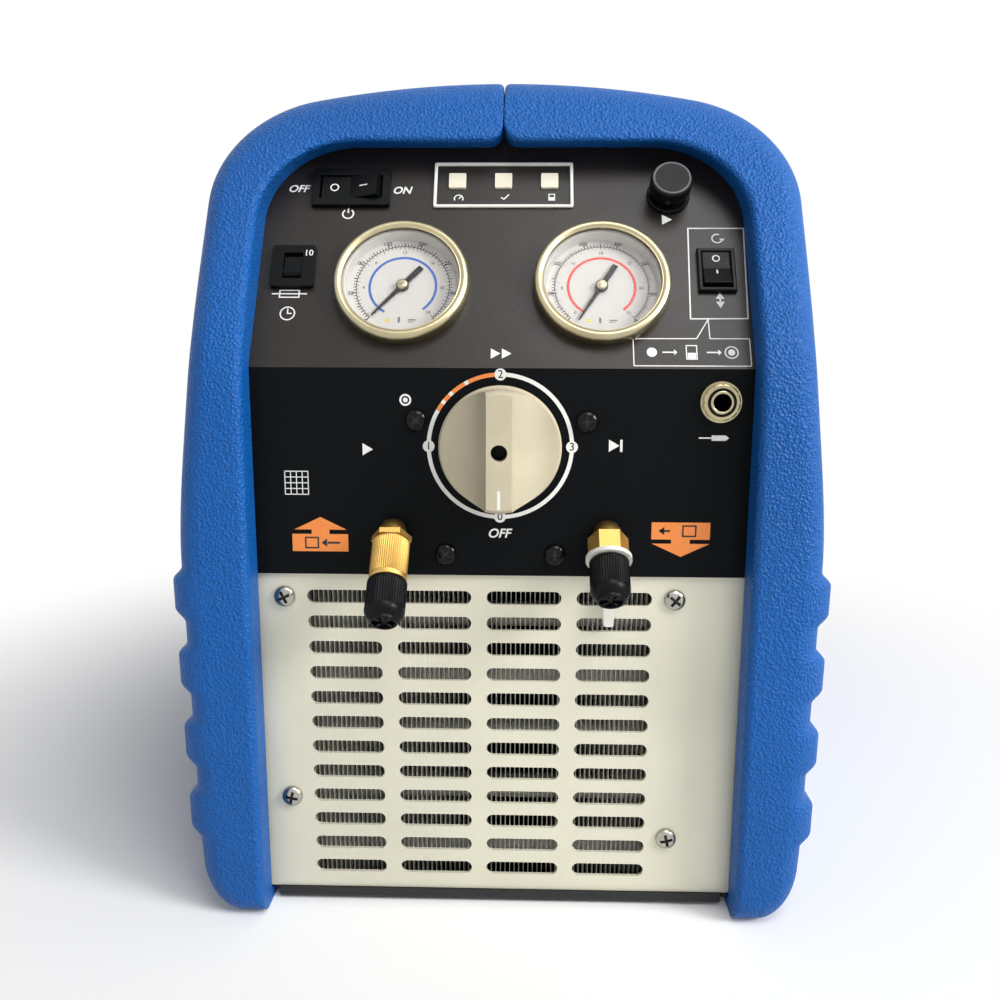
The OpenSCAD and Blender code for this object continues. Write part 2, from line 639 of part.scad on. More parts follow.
// Jack socket with its nut
jack_sleeve_r = 5.2;
module jack_socket() color(black)
    on_lower(jack_x, jack_z)
        difference() {
            union() {
                translate([0, 0, -jack_bore_l]) cylinder(r = jack_sleeve_r, h = jack_bore_l + 3.2);
                translate([-7.5, -7.5, -jack_bore_l - 2]) cube([15, 15, jack_bore_l + 2 - sheet_t - seat_gap]);
            }
            translate([0, 0, 3.2 - jack_bore_l]) cylinder(r = jack_bore_r, h = jack_bore_l + 1);
        }
module jack_nut() color(steel)
    on_lower(jack_x, jack_z) translate([0, 0, seat_gap])
        difference() {
            rotate_extrude() polygon([[jack_sleeve_r + run_gap, 0], [7.6, 0], [7.6, 0.8], [6.8, 0.8],
                [6.8, 2.4],
                [6.3, 2.8], [jack_sleeve_r + run_gap, 2.8]]);
            for (a = [0 : 30 : 330]) rotate([0, 0, a]) translate([7.1, 0, 2.4])
                cylinder(r = 0.7, h = 2, center = true);
        }

// Pressure gauges
gauge_r = bezel_r - 1.6;
lens_r = bezel_r - 3.1;
dial_z = -2;
module gauge_case() color([0.78, 0.74, 0.60])
    rotate_extrude($fn = 96)
        polygon([[0, -gauge_depth], [gauge_r, -gauge_depth], [gauge_r, seat_gap], [bezel_r, seat_gap],
            [bezel_r, bezel_h - 1.4], [bezel_r - 0.5, bezel_h - 0.5], [bezel_r - 1.5, bezel_h],
            [lens_r - 0.6, bezel_h], [lens_r - 0.6, bezel_h - 1], [lens_r + seat_gap, bezel_h - 1],
            [lens_r + seat_gap, dial_z], [lens_r - 1.2, dial_z], [lens_r - 1.2, 3 - gauge_depth],
            [0, 3 - gauge_depth]]);
module gauge_dial() color(white)
    translate([0, 0, dial_z + e])
        difference() {
            cylinder(r = lens_r - seat_gap, h = 1);
            translate([0, 0, -1]) cylinder(r = pointer_pin_r + run_gap, h = 3);
        }
module gauge_lens() color([0.9, 0.95, 0.97, 0.3])
    translate([0, 0, bezel_h - 1 - seat_gap - 1.6]) cylinder(r = lens_r, h = 1.6);
pointer_tail = 10.5;
pointer_hub_r = 2.4;
pointer_pin_r = 1.2;
module gauge_pointer(rest) color(black)
    rotate([0, 0, rest]) {
        translate([0, 0, dial_z - 4]) cylinder(r = pointer_pin_r, h = 6);
        translate([0, 0, dial_z + 1.4]) cylinder(r = pointer_hub_r, h = 1.2);
        translate([0, 0, dial_z + 1.7]) linear_extrude(0.5)
            polygon([[-0.9, 0], [-0.25, pointer_l], [0.25, pointer_l], [0.9, 0], [1.1, -pointer_tail],
                [-1.1, -pointer_tail]]);
    }
module suction_gauge() on_upper(-gauge_x, gauge_s) gauge_case();
module suction_dial() on_upper(-gauge_x, gauge_s) gauge_dial();
module suction_pointer() on_upper(-gauge_x, gauge_s) gauge_pointer(suction_rest);
module suction_lens() on_upper(-gauge_x, gauge_s) gauge_lens();
module discharge_gauge() on_upper(gauge_x, gauge_s) gauge_case();
module discharge_dial() on_upper(gauge_x, gauge_s) gauge_dial();
module discharge_pointer() on_upper(gauge_x, gauge_s) gauge_pointer(discharge_rest);
module discharge_lens() on_upper(gauge_x, gauge_s) gauge_lens();
gauge_stem_l = 12;
module gauge_stems() color(brass)
    for (side = [-1, 1]) on_upper(side * gauge_x, gauge_s)
        translate([0, 0, -gauge_depth - seat_gap - gauge_stem_l]) {
        cylinder(r = 5, h = gauge_stem_l);
        translate([0, 0, gauge_stem_l - 7]) cylinder(r = 7, h = 7, $fn = 6);
    }

// Refrigerant ports: elbows that dip forwards, the filter body and the caps
port_stub_r = 5;
port_depth = 12;
elbow_out = 4;
hex_r = 7.6;
hex_from = 1.3;
hex_end = 9.5;
collar_end = 3.4;
neck_l = 12;
strap_t = 1.6;
module on_port(side)
    on_lower(side * port_x, port_z) translate([0, 0, elbow_out]) rotate([port_dip, 0, 0]) children();
module port_elbow(hex_l) {
    translate([0, 0, -sheet_t - seat_gap - port_depth])
        cylinder(r = port_stub_r, h = port_depth + sheet_t + seat_gap + elbow_out);
    translate([0, 0, elbow_out]) {
        sphere(port_stub_r + 0.5);
        rotate([port_dip, 0, 0]) {
            translate([0, 0, hex_from]) cylinder(r = hex_r, h = hex_l - hex_from, $fn = 6);
            cylinder(r = neck_r, h = hex_l + neck_l);
        }
    }
}
module input_port() color(brass) on_lower(-port_x, port_z) port_elbow(collar_end);
module output_port() color(brass) on_lower(port_x, port_z) port_elbow(hex_end);
filter_from = collar_end + seat_gap;
filter_bore_l = neck_l + hole_gap;
module knurl(r, l, n, depth)
    for (k = [0 : n - 1]) rotate([0, 0, 360 * k / n]) translate([r + depth * 0.6, 0, 0])
        rotate([0, 0, 45]) translate([0, 0, l / 2]) cube([depth * 1.7, depth * 1.7, l], center = true);
module input_filter() color(brass)
    on_port(-1) translate([0, 0, filter_from])
        difference() {
            union() {
                cylinder(r = filter_r, h = filter_l);
                translate([0, 0, filter_l - e]) cylinder(r = neck_r, h = neck_l);
            }
            translate([0, 0, -e]) cylinder(r = neck_r + hole_gap, h = filter_bore_l);
            translate([0, 0, -e]) cylinder(r = screen_r + hole_gap, h = filter_bore_l + screen_l + hole_gap);
            translate([0, 0, 2]) knurl(filter_r, filter_l - 4, 28, 0.5);
        }
screen_r = 3.2;
screen_l = 7;
module filter_screen() color(steel)
    on_port(-1) translate([0, 0, filter_from + filter_bore_l])
        cylinder(r = screen_r, h = screen_l);
cap_wall = 3.6;
module port_cap() color(black)
    difference() {
        rotate_extrude() polygon([[0, 0], [cap_r - 0.8, 0], [cap_r, 0.8], [cap_r, cap_l - 1.2],
            [cap_r - 1.6, cap_l], [0, cap_l]]);
        translate([0, 0, -e]) cylinder(r = neck_r + hole_gap, h = cap_l - cap_wall);
        translate([0, 0, 1.6]) knurl(cap_r, cap_l - 5, 20, 0.6);
        translate([0, 0, cap_l - 1]) cylinder(r = cap_r - 3.2, h = 2);
    }
input_cap_from = filter_from + filter_l + seat_gap;
output_cap_from = hex_end + strap_t + 2 * seat_gap;
module input_cap() on_port(-1) translate([0, 0, input_cap_from]) port_cap();
module output_cap() on_port(1) translate([0, 0, output_cap_from]) port_cap();
module cap_strap() color(white)
    on_port(1) translate([0, 0, hex_end + seat_gap]) linear_extrude(strap_t)
        difference() {
            union() {
                circle(cap_r + 1.2);
                translate([-1.6, -cap_r - 7]) square([3.2, 9]);
            }
            circle(neck_r + hole_gap);
        }

// Condenser
fin_y = grille_back_y + 5;
fin_low = pan_top + 1;
fin_high = fin_low + tube_count * tube_pitch;
fin_n = floor(fin_w / fin_pitch);
tube_mid_y = fin_y + fin_d / 2;
function tube_z(k) = fin_low + (k + 0.5) * tube_pitch;
module fin_outline(h)
    difference() {
        translate([fin_y, fin_low]) square([fin_d, fin_high - fin_low]);
        for (k = [0 : tube_count - 1]) translate([tube_mid_y, tube_z(k)]) circle(tube_r + h);
    }
module across(x, t) translate([x, 0, 0]) rotate([90, 0, 90]) linear_extrude(t) children();
module condenser_fins() color([0.72, 0.74, 0.75])
    for (k = [0 : fin_n - 1])
        across(slot_x + (k - (fin_n - 1) / 2) * fin_pitch - fin_t / 2, fin_t) fin_outline(run_gap);
tube_reach = fin_w / 2 + 4;
module condenser_tubes() color(copper) {
    for (k = [0 : tube_count - 1]) translate([slot_x - tube_reach, tube_mid_y, tube_z(k)])
        rotate([0, 90, 0]) cylinder(r = tube_r, h = 2 * tube_reach);
    for (k = [0 : tube_count - 2]) {
        side = k % 2 == 0 ? 1 : -1;
        translate([slot_x + side * tube_reach, tube_mid_y, (tube_z(k) + tube_z(k + 1)) / 2])
            rotate([90, 0, 0]) rotate([0, 0, side * 90 - 180]) rotate_extrude(angle = 180)
                translate([tube_pitch / 2, 0]) circle(tube_r);
    }
}
bracket_t = 1.2;
bracket_low = pan_top + seat_gap;
bracket_front = grille_back_y + seat_gap;
module condenser_brackets() color(steel)
    for (side = [-1, 1])
        difference() {
            translate([slot_x, 0, bracket_low]) linear_extrude(fin_high + 6 - bracket_low)
                polygon([for (p = [[fin_w / 2 + 0.4, bracket_front], [fin_w / 2 + 13, bracket_front],
                    [fin_w / 2 + 13, bracket_front + bracket_t],
                    [fin_w / 2 + 0.4 + bracket_t, bracket_front + bracket_t],
                    [fin_w / 2 + 0.4 + bracket_t, fin_y + fin_d + 3], [fin_w / 2 + 0.4, fin_y + fin_d + 3]])
                    [side * p[0], p[1]]]);
            for (k = [0 : tube_count - 1]) translate([slot_x, tube_mid_y, tube_z(k)])
                rotate([0, 90, 0]) cylinder(r = tube_r + seat_gap, h = 4 * tube_reach, center = true);
            for (p = grille_screw_at) on_lower(p[0], p[1]) translate([0, 0, -40])
                cylinder(r = shank_r + seat_gap, h = 60);
        }

// Fan, motor and compressor
shroud_y = fin_y + fin_d + 3 + seat_gap;
shroud_hw = fin_w / 2 + 0.4 + bracket_t;
fan_mid_y = shroud_y + 12;
fan_l = 18;
motor_y = fan_mid_y + fan_l / 2 + 14;
module fan_shroud() color(black)
    difference() {
        translate([slot_x - shroud_hw, shroud_y, bracket_low])
            cube([2 * shroud_hw, sheet_t, fin_high + 6 - bracket_low]);
        translate([0, shroud_y - 1, motor_z]) rotate([-90, 0, 0]) cylinder(r = fan_r + 2.5, h = 10);
    }
module along_motor(y) translate([0, y, motor_z]) rotate([-90, 0, 0]) children();
hub_r = 15;
blade_pitch = 32;
module fan() color(black)
    along_motor(fan_mid_y)
        difference() {
            union() {
                translate([0, 0, -fan_l / 2]) cylinder(r = hub_r, h = fan_l);
                intersection() {
                    for (k = [0 : fan_blades_n - 1]) rotate([0, 0, 360 * k / fan_blades_n])
                        rotate([blade_pitch, 0, 0]) translate([hub_r - 2, -15, -0.9]) cube([fan_r, 30, 1.8]);
                    translate([0, 0, -fan_l / 2]) cylinder(r = fan_r, h = fan_l);
                }
            }
            cylinder(r = shaft_r + run_gap, h = 60, center = true);
        }
plate_z = 12;
plate_t = 2.5;
plate_hw = 58;
plate_y0 = motor_y - 2;
crank_y = motor_y + motor_l + seat_gap;
crank_l = 96;
plate_y1 = crank_y + crank_l + 26;
plate_top = plate_z + plate_t;
boss_l = 8;
module motor_shaft() color(steel)
    translate([0, fan_mid_y - fan_l / 2 - 3, motor_z]) rotate([-90, 0, 0])
        cylinder(r = shaft_r, h = crank_y + 20 - fan_mid_y + fan_l / 2 + 3);
module motor() color(dark_grey)
    difference() {
        union() {
            along_motor(motor_y) rotate_extrude() polygon([[0, 0], [14, 0], [14, boss_l],
                [motor_r - 8, boss_l + 3],
                [motor_r, boss_l + 9], [motor_r, motor_l], [0, motor_l]]);
            for (k = [0 : 11]) along_motor(motor_y + boss_l + 16) rotate([0, 0, 30 * k])
                translate([motor_r - 1, -1.2, 0]) cube([3.4, 2.4, motor_l - boss_l - 26]);
            for (y = [motor_y + boss_l + 16, motor_y + motor_l - 30])
                translate([-34, y, plate_top + seat_gap]) cube([68, 14, motor_z - plate_top - 20]);
        }
        along_motor(motor_y - 1) cylinder(r = shaft_r + run_gap, h = motor_l + 2);
    }
crank_w = 92;
crank_top = motor_z + 46;
module compressor() color([0.55, 0.56, 0.58])
    difference() {
        union() {
            translate([0, crank_y + crank_l / 2, plate_top + seat_gap])
                linear_extrude(crank_top - plate_top - seat_gap)
                rounded(crank_w, crank_l, 12);
            for (k = [0 : 4]) translate([0, crank_y + crank_l / 2, motor_z - 30 + 14 * k]) linear_extrude(4)
                rounded(crank_w + 8, crank_l - 6, 14);
        }
        along_motor(crank_y - 1) cylinder(r = shaft_r + run_gap, h = 24);
    }
head_h = 44;
head_w = 64;
head_fin_w = head_w + 20;
head_top = crank_top + head_h;
module cylinder_head() color([0.66, 0.67, 0.69])
    translate([0, crank_y + crank_l / 2, crank_top + seat_gap])
        difference() {
            union() {
                linear_extrude(head_top - crank_top) rounded(head_w, head_w, 10);
                for (k = [0 : 4]) translate([0, 0, 4 + 7 * k])
                    linear_extrude(3) rounded(head_fin_w, head_fin_w, 12);
            }
            for (side = [-1, 1]) translate([side * head_port_x, 0, head_top - crank_top - 8])
                cylinder(r = line_r + run_gap, h = 20);
        }
module drive_plate() color(dark_grey)
    difference() {
        translate([-plate_hw, plate_y0, plate_z]) cube([2 * plate_hw, plate_y1 - plate_y0, plate_t]);
        for (p = mount_at) translate([p[0], p[1], 0]) cylinder(r = 4 + seat_gap, h = 40);
    }
mount_at = [for (sx = [-1, 1], y = [plate_y0 + 14, plate_y1 - 14]) [sx * (plate_hw - 10), y]];
module rubber_mounts() color(black)
    for (p = mount_at) translate([p[0], p[1], 0])
        rotate_extrude() polygon([[0, pan_top + seat_gap], [9, pan_top + seat_gap], [9, plate_z - seat_gap],
            [4, plate_z - seat_gap], [4, plate_top + seat_gap], [7, plate_top + seat_gap], [7, plate_top + 3],
            [0, plate_top + 3]]);
capacitor_r = 15;
capacitor_x = opening_hw - capacitor_r - 3.5;
capacitor_h = 80;
module run_capacitor() color(silver)
    translate([capacitor_x, motor_y + 40, pan_top + seat_gap]) {
        rotate_extrude() polygon([[0, 0], [capacitor_r, 0], [capacitor_r, capacitor_h - 2],
            [capacitor_r - 2, capacitor_h], [0, capacitor_h]]);
        for (side = [-1, 1]) translate([side * 6, 0, capacitor_h - 1]) cylinder(r = 2, h = 8);
    }

// Copper lines, swept along routes of straight stretches with round bends
line_r = 3.2;
capillary_r = 1.6;
function unit(v) = v / norm(v);
function rounded_route(p, r) = concat([p[0]],
    [for (i = [1 : len(p) - 2], k = [0 : 4])
        let (t = k / 4, a = p[i] + r * unit(p[i - 1] - p[i]), b = p[i] + r * unit(p[i + 1] - p[i]))
        (1 - t) * (1 - t) * a + 2 * t * (1 - t) * p[i] + t * t * b],
    [p[len(p) - 1]]);
module swept_tube(route, r, bend_r) {
    p = rounded_route(route, bend_r);
    n = len(p);
    sides = 8;
    up = unit([0.41, 0.23, 0.88]);
    ring = [for (i = [0 : n - 1])
        let (t = unit(p[min(i + 1, n - 1)] - p[max(i - 1, 0)]), u = unit(cross(up, t)), v = cross(t, u))
        each [for (k = [0 : sides - 1]) let (a = 360 * k / sides) p[i] + r * (cos(a) * u + sin(a) * v)]];
    faces = [for (i = [0 : n - 2], k = [0 : sides - 1])
        let (q = (k + 1) % sides)
        each [[i * sides + k, (i + 1) * sides + k, i * sides + q],
              [i * sides + q, (i + 1) * sides + k, (i + 1) * sides + q]]];
    polyhedron(points = ring, convexity = 6,
        faces = concat(faces, [[for (k = [0 : sides - 1]) k]],
            [[for (k = [sides - 1 : -1 : 0]) (n - 1) * sides + k]]));
}
valve_back_y = panel_y - valve_front + valve_d + seat_gap;
head_mid_y = crank_y + crank_l / 2;
head_port_z = head_top - 8 + 0.6;
tube_left_x = slot_x - tube_reach - seat_gap;
tube_right_x = slot_x + tube_reach + seat_gap;
top_tube_z = tube_z(tube_count - 1);
// Each line runs clear of the return bends: suction above the drive, discharge on the right, liquid on the left
suction_z = 190;
suction_x = -30;
discharge_z = 178;
discharge_x = opening_hw + 2;
cross_y = motor_y + 58;
line_clear = 2.4;
liquid_x = slot_x - tube_reach - tube_pitch / 2 - tube_r - line_r - line_clear;
liquid_z = 165;
liquid_y = valve_back_y + 22;
liquid_in_x = -38;
head_port_x = 18;
module suction_line() color(copper)
    swept_tube([[suction_x, valve_back_y, suction_z], [suction_x, crank_y, suction_z],
        [-head_port_x, head_mid_y, suction_z],
        [-head_port_x, head_mid_y, head_port_z]], line_r, 14);
module discharge_line() color(copper)
    swept_tube([[head_port_x, head_mid_y, head_port_z], [head_port_x, head_mid_y, discharge_z],
        [head_port_x, cross_y, discharge_z], [discharge_x, cross_y, discharge_z],
        [discharge_x, tube_mid_y, discharge_z], [discharge_x, tube_mid_y, top_tube_z],
        [tube_right_x, tube_mid_y, top_tube_z]], line_r, 12);
module liquid_line() color(copper)
    swept_tube([[tube_left_x, tube_mid_y, tube_z(0)], [liquid_x, tube_mid_y, tube_z(0)],
        [liquid_x, tube_mid_y, liquid_z], [liquid_x, liquid_y, liquid_z], [liquid_in_x, liquid_y, liquid_z],
        [liquid_in_x, valve_back_y, liquid_z]], line_r, 8);
stem_end = -gauge_depth - 2 * seat_gap - gauge_stem_l;
function upper_point(x, s, out) =
    [x, panel_y + s * sin(lean) - out * cos(lean), bend_z + s * cos(lean) + out * sin(lean)];
module gauge_lines() color(copper)
    for (side = [-1, 1])
        swept_tube([upper_point(side * gauge_x, gauge_s, stem_end),
            upper_point(side * gauge_x, gauge_s, stem_end - 14),
            [side * gauge_x, valve_back_y + 12, 198], [side * gauge_x, valve_back_y, 198]], capillary_r, 5);

// Power inlet in the rear panel
inlet_depth = 22;
recess_w = 23;
recess_h = 16;
recess_d = 16;
module power_inlet() color(black)
    on_rear(inlet_x, inlet_z) {
        difference() {
            union() {
                translate([0, 0, -inlet_depth]) linear_extrude(inlet_depth + 0.2) rounded(inlet_w, inlet_h, 2);
                translate([0, 0, seat_gap]) linear_extrude(2.4) rounded(inlet_w + 8, inlet_h + 6, 3);
            }
            translate([0, 0, 2.5 - recess_d]) linear_extrude(recess_d + 1) rounded(recess_w, recess_h, 2);
        }
        for (p = [[-7, -3.5], [0, -0.5], [7, -3.5]]) translate([p[0] - 1, p[1] - 2, 2 - recess_d])
            cube([2, 4, recess_d - 3]);
    }

left_shell();
right_shell();
control_panel();
grille_panel();
base_pan();
rear_panel();
grille_screws();
valve_screws();
rear_screws();
handle_bar();
selector_knob();
valve_stem();
valve_block();
power_switch();
power_rocker();
bypass_switch();
bypass_rocker();
breaker_frame();
breaker_rocker();
start_collar();
start_button();
indicator_frame();
indicator_lights();
circuit_board();
jack_socket();
jack_nut();
suction_gauge();
suction_dial();
suction_pointer();
suction_lens();
discharge_gauge();
discharge_dial();
discharge_pointer();
discharge_lens();
gauge_stems();
input_port();
input_filter();
filter_screen();
input_cap();
output_port();
output_cap();
cap_strap();
condenser_fins();
condenser_tubes();
condenser_brackets();
fan_shroud();
fan();
motor();
motor_shaft();
compressor();
cylinder_head();
drive_plate();
rubber_mounts();
run_capacitor();
suction_line();
discharge_line();
liquid_line();
gauge_lines();
power_inlet();
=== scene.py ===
"""Looks of a portable refrigerant recovery machine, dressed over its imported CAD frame.

Lengths are in millimetres in the frame of the CAD source, and are scaled to metres as meshes are made.
"""
import math

import bpy
from mathutils import Matrix, Vector


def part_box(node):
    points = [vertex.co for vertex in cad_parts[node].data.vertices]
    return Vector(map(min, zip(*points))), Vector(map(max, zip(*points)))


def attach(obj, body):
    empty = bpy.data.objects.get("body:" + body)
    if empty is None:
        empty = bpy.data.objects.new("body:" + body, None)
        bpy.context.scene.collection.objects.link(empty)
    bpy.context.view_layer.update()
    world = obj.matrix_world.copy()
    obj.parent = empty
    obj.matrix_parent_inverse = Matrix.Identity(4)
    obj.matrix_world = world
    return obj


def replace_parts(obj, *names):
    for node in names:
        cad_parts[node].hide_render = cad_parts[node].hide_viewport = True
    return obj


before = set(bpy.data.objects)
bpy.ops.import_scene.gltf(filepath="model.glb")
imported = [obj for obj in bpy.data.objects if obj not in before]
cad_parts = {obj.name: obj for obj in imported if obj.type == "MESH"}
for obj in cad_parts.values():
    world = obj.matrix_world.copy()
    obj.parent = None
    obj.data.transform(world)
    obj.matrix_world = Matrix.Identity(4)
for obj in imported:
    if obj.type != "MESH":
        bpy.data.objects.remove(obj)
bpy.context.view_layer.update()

MM = 0.001

# Sizes of the case, as in the CAD source
CASE_Y, CASE_D = 10.5, 400
FRONT_Y, REAR_RIM_Y = CASE_Y - CASE_D / 2, CASE_Y + CASE_D / 2
RIM_RECESS, LEAN, BEND_Z = 14, math.radians(30), 217
PANEL_Y, REAR_Y = FRONT_Y + RIM_RECESS, REAR_RIM_Y - RIM_RECESS
REAR_LEAN, REAR_BEND_Z = math.radians(20), 250
UPPER_HW, LOWER_HW, OPENING_HW, DRAFT = 114, 120.5, 93, 2
FLARE_TOP, FLARE_LOW = BEND_Z + 16, 144.4
ARCH_H, CROWN_R, ARCH_CORNER = 328.5, 390, 50
ARCH_RISE = ARCH_CORNER * math.cos(LEAN)
FOOT_CORNER, FOOT_RISE = 16.5, 24
EDGE_R, RIM_INNER_R, WALL, SEAM_X, SEAM_CORNER = 10, 3, 4, 0.2, 6
OPENING_TOP, OPENING_CORNER = 302.5, 35
RIB_Z = [43 + 29.6 * k for k in range(4)]
RIB_H, RIB_FLAT, RIB_HALF = 3.8, 5.2, 10.9
RIM_BEND_W, SEAT_GAP = 14, 0.1
HAND_FRONT, HAND_REAR, DECK_Z = CASE_Y + 18 - 90, CASE_Y + 18 + 90, 272
KNOB_Z, GAUGE_X, GAUGE_S = 188, 37.8, 35
DIAL_TOP = -0.99
START_H = 11.5
SCREW_R, SCREW_H = 4.1, 2.6
POWER_AT, BYPASS_AT, START_AT, JACK_AT = (-60, 78.6), (81.2, 41.3), (64.4, 75.2), (81, 205)
ROCKER_SWING, ROCKER_TOP, ROCKER_SLOPE, PIVOT_IN = math.radians(8), 3.4, 0.14, 2
POWER_HALF, BYPASS_HALF, BYPASS_WIDE = 12.4, 7.5, 5.3
SCALE_FIRST, SCALE_SPAN = 228, 276
FIN_ROWS, FIN_PITCH, FIN_COLLAR_R = 5, 25, 5.05
WORLD_LIGHT, FLOOR_REACH, AIM_Z = 0.26, 6, 0.17


# Materials
def linear(r, g, b):
    """sRGB values from 0 to 255 as a linear colour."""
    def one(c):
        c /= 255
        return c / 12.92 if c <= 0.04045 else ((c + 0.055) / 1.055) ** 2.4
    return (one(r), one(g), one(b), 1)


class Finish:
    """A node material built from the principled shader, with small helpers for its textures."""

    def __init__(self, name, colour, roughness=0.5, metallic=0.0, specular=0.5):
        self.material = bpy.data.materials.new(name)
        self.material.use_nodes = True
        self.tree = self.material.node_tree
        self.shader = self.tree.nodes["Principled BSDF"]
        self.shader.inputs["Base Color"].default_value = colour
        self.shader.inputs["Roughness"].default_value = roughness
        self.shader.inputs["Metallic"].default_value = metallic
        self.shader.inputs["Specular IOR Level"].default_value = specular
        self.colour = colour
        self.coords = self.tree.nodes.new("ShaderNodeTexCoord").outputs["Object"]
        self.normal = None

    def add(self, kind, **values):
        node = self.tree.nodes.new(kind)
        for key, value in values.items():
            if key in node.inputs:
                node.inputs[key].default_value = value
            else:
                setattr(node, key, value)
        return node

    def link(self, source, target):
        self.tree.links.new(source, target)
        return self

    def noise(self, scale, detail):
        texture = self.add("ShaderNodeTexNoise", Scale=scale, Detail=detail)
        self.link(self.coords, texture.inputs["Vector"])
        return texture.outputs["Fac"]

    def cells(self, scale):
        texture = self.add("ShaderNodeTexVoronoi", feature="SMOOTH_F1", Scale=scale)
        texture.inputs["Smoothness"].default_value = 0.4
        self.link(self.coords, texture.inputs["Vector"])
        return texture.outputs["Distance"]

    def vary_colour(self, fac, dark, light):
        ramp = self.add("ShaderNodeValToRGB")
        for stop, share, place in zip(ramp.color_ramp.elements, (dark, light), (0.35, 0.65)):
            stop.color = [min(1, c * share) for c in self.colour[:3]] + [1]
            stop.position = place
        self.link(fac, ramp.inputs["Fac"])
        return self.link(ramp.outputs["Color"], self.shader.inputs["Base Color"])

    def vary_roughness(self, fac, low, high):
        span = self.add("ShaderNodeMapRange")
        span.inputs["To Min"].default_value = low
        span.inputs["To Max"].default_value = high
        self.link(fac, span.inputs["Value"])
        return self.link(span.outputs["Result"], self.shader.inputs["Roughness"])

    def bump(self, height, depth, strength):
        node = self.add("ShaderNodeBump", Strength=strength, Distance=depth)
        self.link(height, node.inputs["Height"])
        if self.normal:
            self.link(self.normal, node.inputs["Normal"])
        self.normal = node.outputs["Normal"]
        return self.link(self.normal, self.shader.inputs["Normal"])


def grained_plastic(name, colour):
    """Moulded plastic with a leather grain."""
    f = Finish(name, colour, 0.45, specular=0.28)
    cells = f.cells(940)
    f.vary_colour(f.noise(9, 4), 0.93, 1.07)
    f.vary_roughness(f.noise(160, 3), 0.36, 0.54)
    f.bump(f.noise(900, 2), 0.0003, 0.35)
    f.bump(cells, 0.0008, 0.8)
    return f.material


def plain_plastic(name, colour, roughness=0.45, grain=0.25, specular=0.5):
    f = Finish(name, colour, roughness, specular=specular)
    f.vary_colour(f.noise(40, 4), 0.92, 1.06)
    f.vary_roughness(f.noise(220, 2), roughness - 0.07, roughness + 0.09)
    f.bump(f.noise(1500, 2), 0.0002, grain)
    return f.material


def coated_sheet(name, colour, roughness=0.42, grain=0.35, metallic=0.0, specular=0.5):
    """Powder-coated or painted sheet: fine orange peel and a slow change of gloss."""
    f = Finish(name, colour, roughness, metallic, specular)
    f.vary_colour(f.noise(14, 4), 0.94, 1.05)
    f.vary_roughness(f.noise(60, 4), roughness - 0.06, roughness + 0.1)
    f.bump(f.noise(1900, 2), 0.0002, grain)
    return f.material


def bare_metal(name, colour, roughness):
    f = Finish(name, colour, roughness, 1.0)
    f.vary_colour(f.noise(70, 5), 0.86, 1.08)
    f.vary_roughness(f.noise(300, 4), roughness - 0.08, roughness + 0.16)
    f.bump(f.noise(900, 3), 0.0001, 0.15)
    return f.material


def printed_ink(name, colour, roughness=0.5):
    f = Finish(name, colour, roughness)
    f.vary_colour(f.noise(600, 3), 0.97, 1.02)
    return f.material


def clear_lens(name):
    f = Finish(name, (0.6, 0.6, 0.6, 1), 0.04)
    f.shader.inputs["Alpha"].default_value = 0.04
    f.bump(f.noise(30, 2), 0.0001, 0.05)
    return f.material


